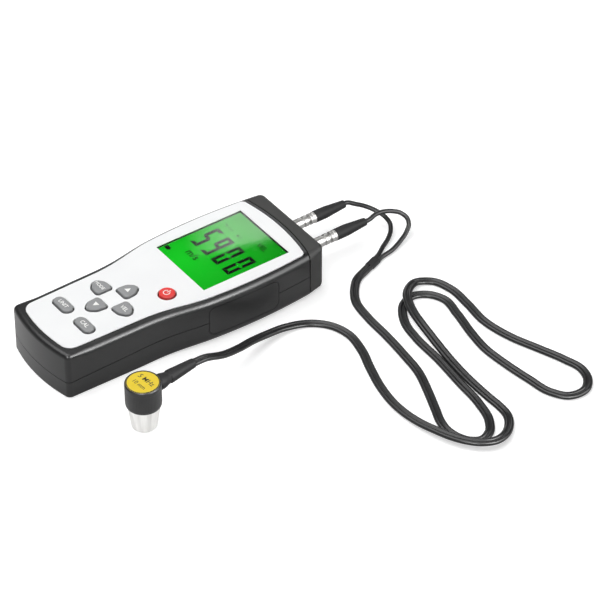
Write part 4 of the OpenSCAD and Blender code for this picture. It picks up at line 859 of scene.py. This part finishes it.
# Label ink: opaque black screen print, as patchy as the legends.
black_ink, tree, shine, place = start("black_screen_ink", Roughness=0.5)
mottle(tree, shine, place, 0.8, ("#151513", "#24241f"), detail=2)
border = np.array([[10.2, label_z], [10.8, label_z], [10.8, label_z + 0.03], [10.2, label_z + 0.03]])
dress(skin("probe_label_border", at_probe(turned(border, 120)), ring_closed=True), black_ink, "gauge", "label_yellow")
for name, words, height, offset in (("probe_frequency", "5 MHz", 5.2, 2.8), ("probe_diameter", "10 mm", 4.2, -3.2)):
    middle = np.array([probe_x, probe_y]) + offset * probe_lead_way[:2]
    words_on = lettering(name, words, height, middle, label_z + 0.01, turn=np.degrees(probe_turn), weight=0.02)
    dress(words_on, black_ink, "gauge", "label_yellow")

# Tip: stainless steel turned to a cone, satin bright, with cut rings about 1.3 mm apart and faint upright streaks.
satin_steel, tree, shine, place = start("satin_turned_steel", Metallic=1.0)
lathe_marks(tree, shine, place, 0.2, 1, 0.01, 0.2, "Z")
grained = add(tree, "ShaderNodeMapping", {"Vector": place, "Scale": (1 / 0.004, 1 / 0.004, 1 / 0.4)})
streak = add(tree, "ShaderNodeTexNoise", {"Vector": grained, "Scale": 1.0, "Detail": 3})
contrast = add(tree, "ShaderNodeMapRange", {"Value": streak, "From Min": 0.3, "From Max": 0.62})
add(tree, "ShaderNodeMapRange", {"Value": streak, "To Min": 0.26, "To Max": 0.42}, to=shine["Roughness"])
add(tree, "ShaderNodeMix", {0: contrast, 6: paint("#dcdbd9"), 7: paint("#f8f7f5")}, to=shine["Base Color"], out=2,
    data_type="RGBA")
bore_r, spigot_r, spigot_z = 5.5, 8.0, 23.7
tip_profile = soften([[bore_r, 10], [bore_r, 0], [8.0, 0], [8.5, 0.5], [10.7, tip_h], [spigot_r, tip_h],
                      [spigot_r, spigot_z], [bore_r, spigot_z], [bore_r, 10.01]], 0.2)
tip = skin("probe_steel_tip", at_probe(turned(tip_profile, 144)), ring_closed=True)
dress(smooth_flats(tip), satin_steel, "gauge", "tip_metal", "probe_tip")

# ---------------------------------------------------------------- Pieces kept from the solids
# Plain machined, moulded or bought parts whose solids already have their form: sockets, screws, the board with
# its parts, the battery cells and contacts, and the sound path inside the probe. Each gets its finish.
kept = {
    "black_ABS_frame": ("#2a2a2b", "#313133", 0.0, 0.42, 0.6, ["display_frame"]),
    "blackened_steel": ("#37383a", "#47484a", 1.0, 0.45, 1.0, ["case_screws"]),
    "plated_steel": ("#c4c5c6", "#dadbdc", 1.0, 0.28, 1.0, ["board_screws", "battery_springs", "battery_plates",
                                                            "dome_switches"]),
    "nickel_plated_socket": ("#cfcecb", "#e6e5e2", 1.0, 0.25, 2.0, ["socket_left", "socket_right", "socket_nuts"]),
    "gilded_contact": ("#cfa649", "#e0bd66", 1.0, 0.25, 1.0, ["plug_pins"]),
    "wire_insulation": ("#a88236", "#b98f3e", 0.0, 0.5, 1.5, ["signal_wires"]),
    "glass_epoxy_board": ("#1c6335", "#23723e", 0.0, 0.4, 0.8, ["main_board"]),
    "moulded_epoxy": ("#222426", "#2c2e30", 0.0, 0.55, 0.4, ["board_chips"]),
    "milky_diffuser": ("#e2f0e4", "#eef8ef", 0.0, 0.5, 3.0, ["backlight"]),
    "striped_contact_rubber": ("#5f6367", "#7d8185", 0.0, 0.6, 0.3, ["contact_strips"]),
    "printed_battery_film": ("#506479", "#63788f", 0.0, 0.35, 4.0, ["battery_cells"]),
    "amber_delay_resin": ("#cfae7c", "#dec296", 0.0, 0.3, 2.0, ["delay_blocks"]),
    "pressed_cork": ("#8a6138", "#ab7d4e", 0.0, 0.8, 0.5, ["sound_barrier"]),
    "fired_ceramic": ("#bfb99f", "#d0cab2", 0.0, 0.5, 0.6, ["crystals"]),
    "loaded_backing_resin": ("#434548", "#55575a", 0.0, 0.6, 0.5, ["backing_blocks"])}
for name, (dark, light, metal, dullness, grain_mm, nodes) in kept.items():
    # A grain of its own size mixes two tones, roughens the sheen and stands up very slightly.
    material, tree, shine, place = start(name, Metallic=metal)
    grain = mottle(tree, shine, place, grain_mm, (dark, light), (dullness * 0.85, dullness * 1.15))
    add(tree, "ShaderNodeBump", {"Height": grain, "Distance": grain_mm * 0.00005, "Strength": 0.2}, to=shine["Normal"])
    give_finish(material, *nodes)

# ---------------------------------------------------------------- Table and light
# A plain white sheet on the table under one broad soft box overhead. Four more boxes only show in glossy
# surfaces: one in the display window, two along the case's right edge and one near the camera.
white_sheet, tree, shine, place = start("matt_white_sheet", Base_Color=paint("#d2d2d2"), Roughness=0.9,
                                        Emission_Color=(1, 1, 1, 1), Specular_IOR_Level=0.0)


def by_ray(tree, to, camera, mirrored, others):
    """Strength that depends on the ray: others, plus so much for the camera's, or for mirrored and refracted ones."""
    rays = tree.nodes.new("ShaderNodeLightPath").outputs
    shown = add(tree, "ShaderNodeMath", {0: rays["Is Glossy Ray"], 1: rays["Is Transmission Ray"]}, operation="MAXIMUM")
    shown = add(tree, "ShaderNodeMath", {0: shown, 1: mirrored, 2: others}, operation="MULTIPLY_ADD")
    add(tree, "ShaderNodeMath", {0: rays["Is Camera Ray"], 1: camera, 2: shown}, to=to, operation="MULTIPLY_ADD")


by_ray(tree, shine["Emission Strength"], 0.62, 0.32, 0.0)
sheet_half = 6000
sheet_corners = sheet_half * np.array([[-1, -1, 0], [1, -1, 0], [1, 1, 0], [-1, 1, 0]])
sheet = put("table_sheet", sheet_corners, [[0, 1, 2, 3]])
sheet.data.materials.append(white_sheet)

world = bpy.data.worlds.new("studio")
bpy.context.scene.world = world
world.use_nodes = True
air = world.node_tree.nodes["Background"].inputs
air["Color"].default_value = (1, 1, 1, 1)
by_ray(world.node_tree, air["Strength"], 0.92, 0.04, 0.08)


def soft_box(name, middle, facing, upright, width, height, radiance, sheen_only=False):
    """Flat lamp at middle that shines along facing; its power is pi times radiance times area. One for sheen only
    shows in glossy surfaces and lights nothing else."""
    lamp = bpy.data.lights.new(name, "AREA")
    lamp.shape, lamp.size, lamp.size_y = "RECTANGLE", width * 0.001, height * 0.001
    lamp.energy = np.pi * radiance * width * height * 1e-6
    back = -np.array(facing) / np.linalg.norm(facing)
    across = np.cross(upright, back)
    across /= np.linalg.norm(across)
    box = new_object(name, lamp)
    turn = Matrix(np.stack([across, np.cross(back, across), back], 1)).to_4x4()
    box.matrix_world = Matrix.Translation(np.array(middle) * 0.001) @ turn
    box.visible_diffuse = box.visible_camera = not sheen_only
    return lamp


soft_box("overhead_box", (-250, -250, 1300), (0.18, 0.22, -1), (0, 1, 0), 1500, 1300, 3.85)
window_way = np.array([0.645, -0.44, -0.625])
window_edge = np.array([0.434, 0.884, -0.175])
window_aside = np.array([-0.63, 0.158, -0.761])
window_box = soft_box("window_box", np.array([-649, 481.6, 657.7]) + 190 * window_aside + 140 * window_edge,
                      window_way, window_edge, 380, 400, 3.0, True)
# It fades towards its lower edge, so that the picture of it in the window fades too.
window_box.use_nodes = True
tree = window_box.node_tree
height = add(tree, "ShaderNodeSeparateXYZ", {"Vector": add(tree, "ShaderNodeNewGeometry", out=5)}, out=1)
add(tree, "ShaderNodeMapRange", {"Value": height, "From Min": 0.075, "From Max": 0.175},
    to=tree.nodes["Emission"].inputs["Strength"])
soft_box("right_box", (960, 600, 620), (-0.80, -0.50, -0.50), (0, 0, 1), 1500, 900, 6.0, True)
soft_box("edge_box", (398, 113, 200), (-0.81, -0.45, -0.37), (0, 0, 1), 150, 110, 20.0, True)
soft_box("camera_box", (1417, -1380, 1685), (-0.545, 0.531, -0.648), (0, 0, 1), 600, 600, 45.0, True)

bpy.context.scene.view_settings.view_transform = "Standard"
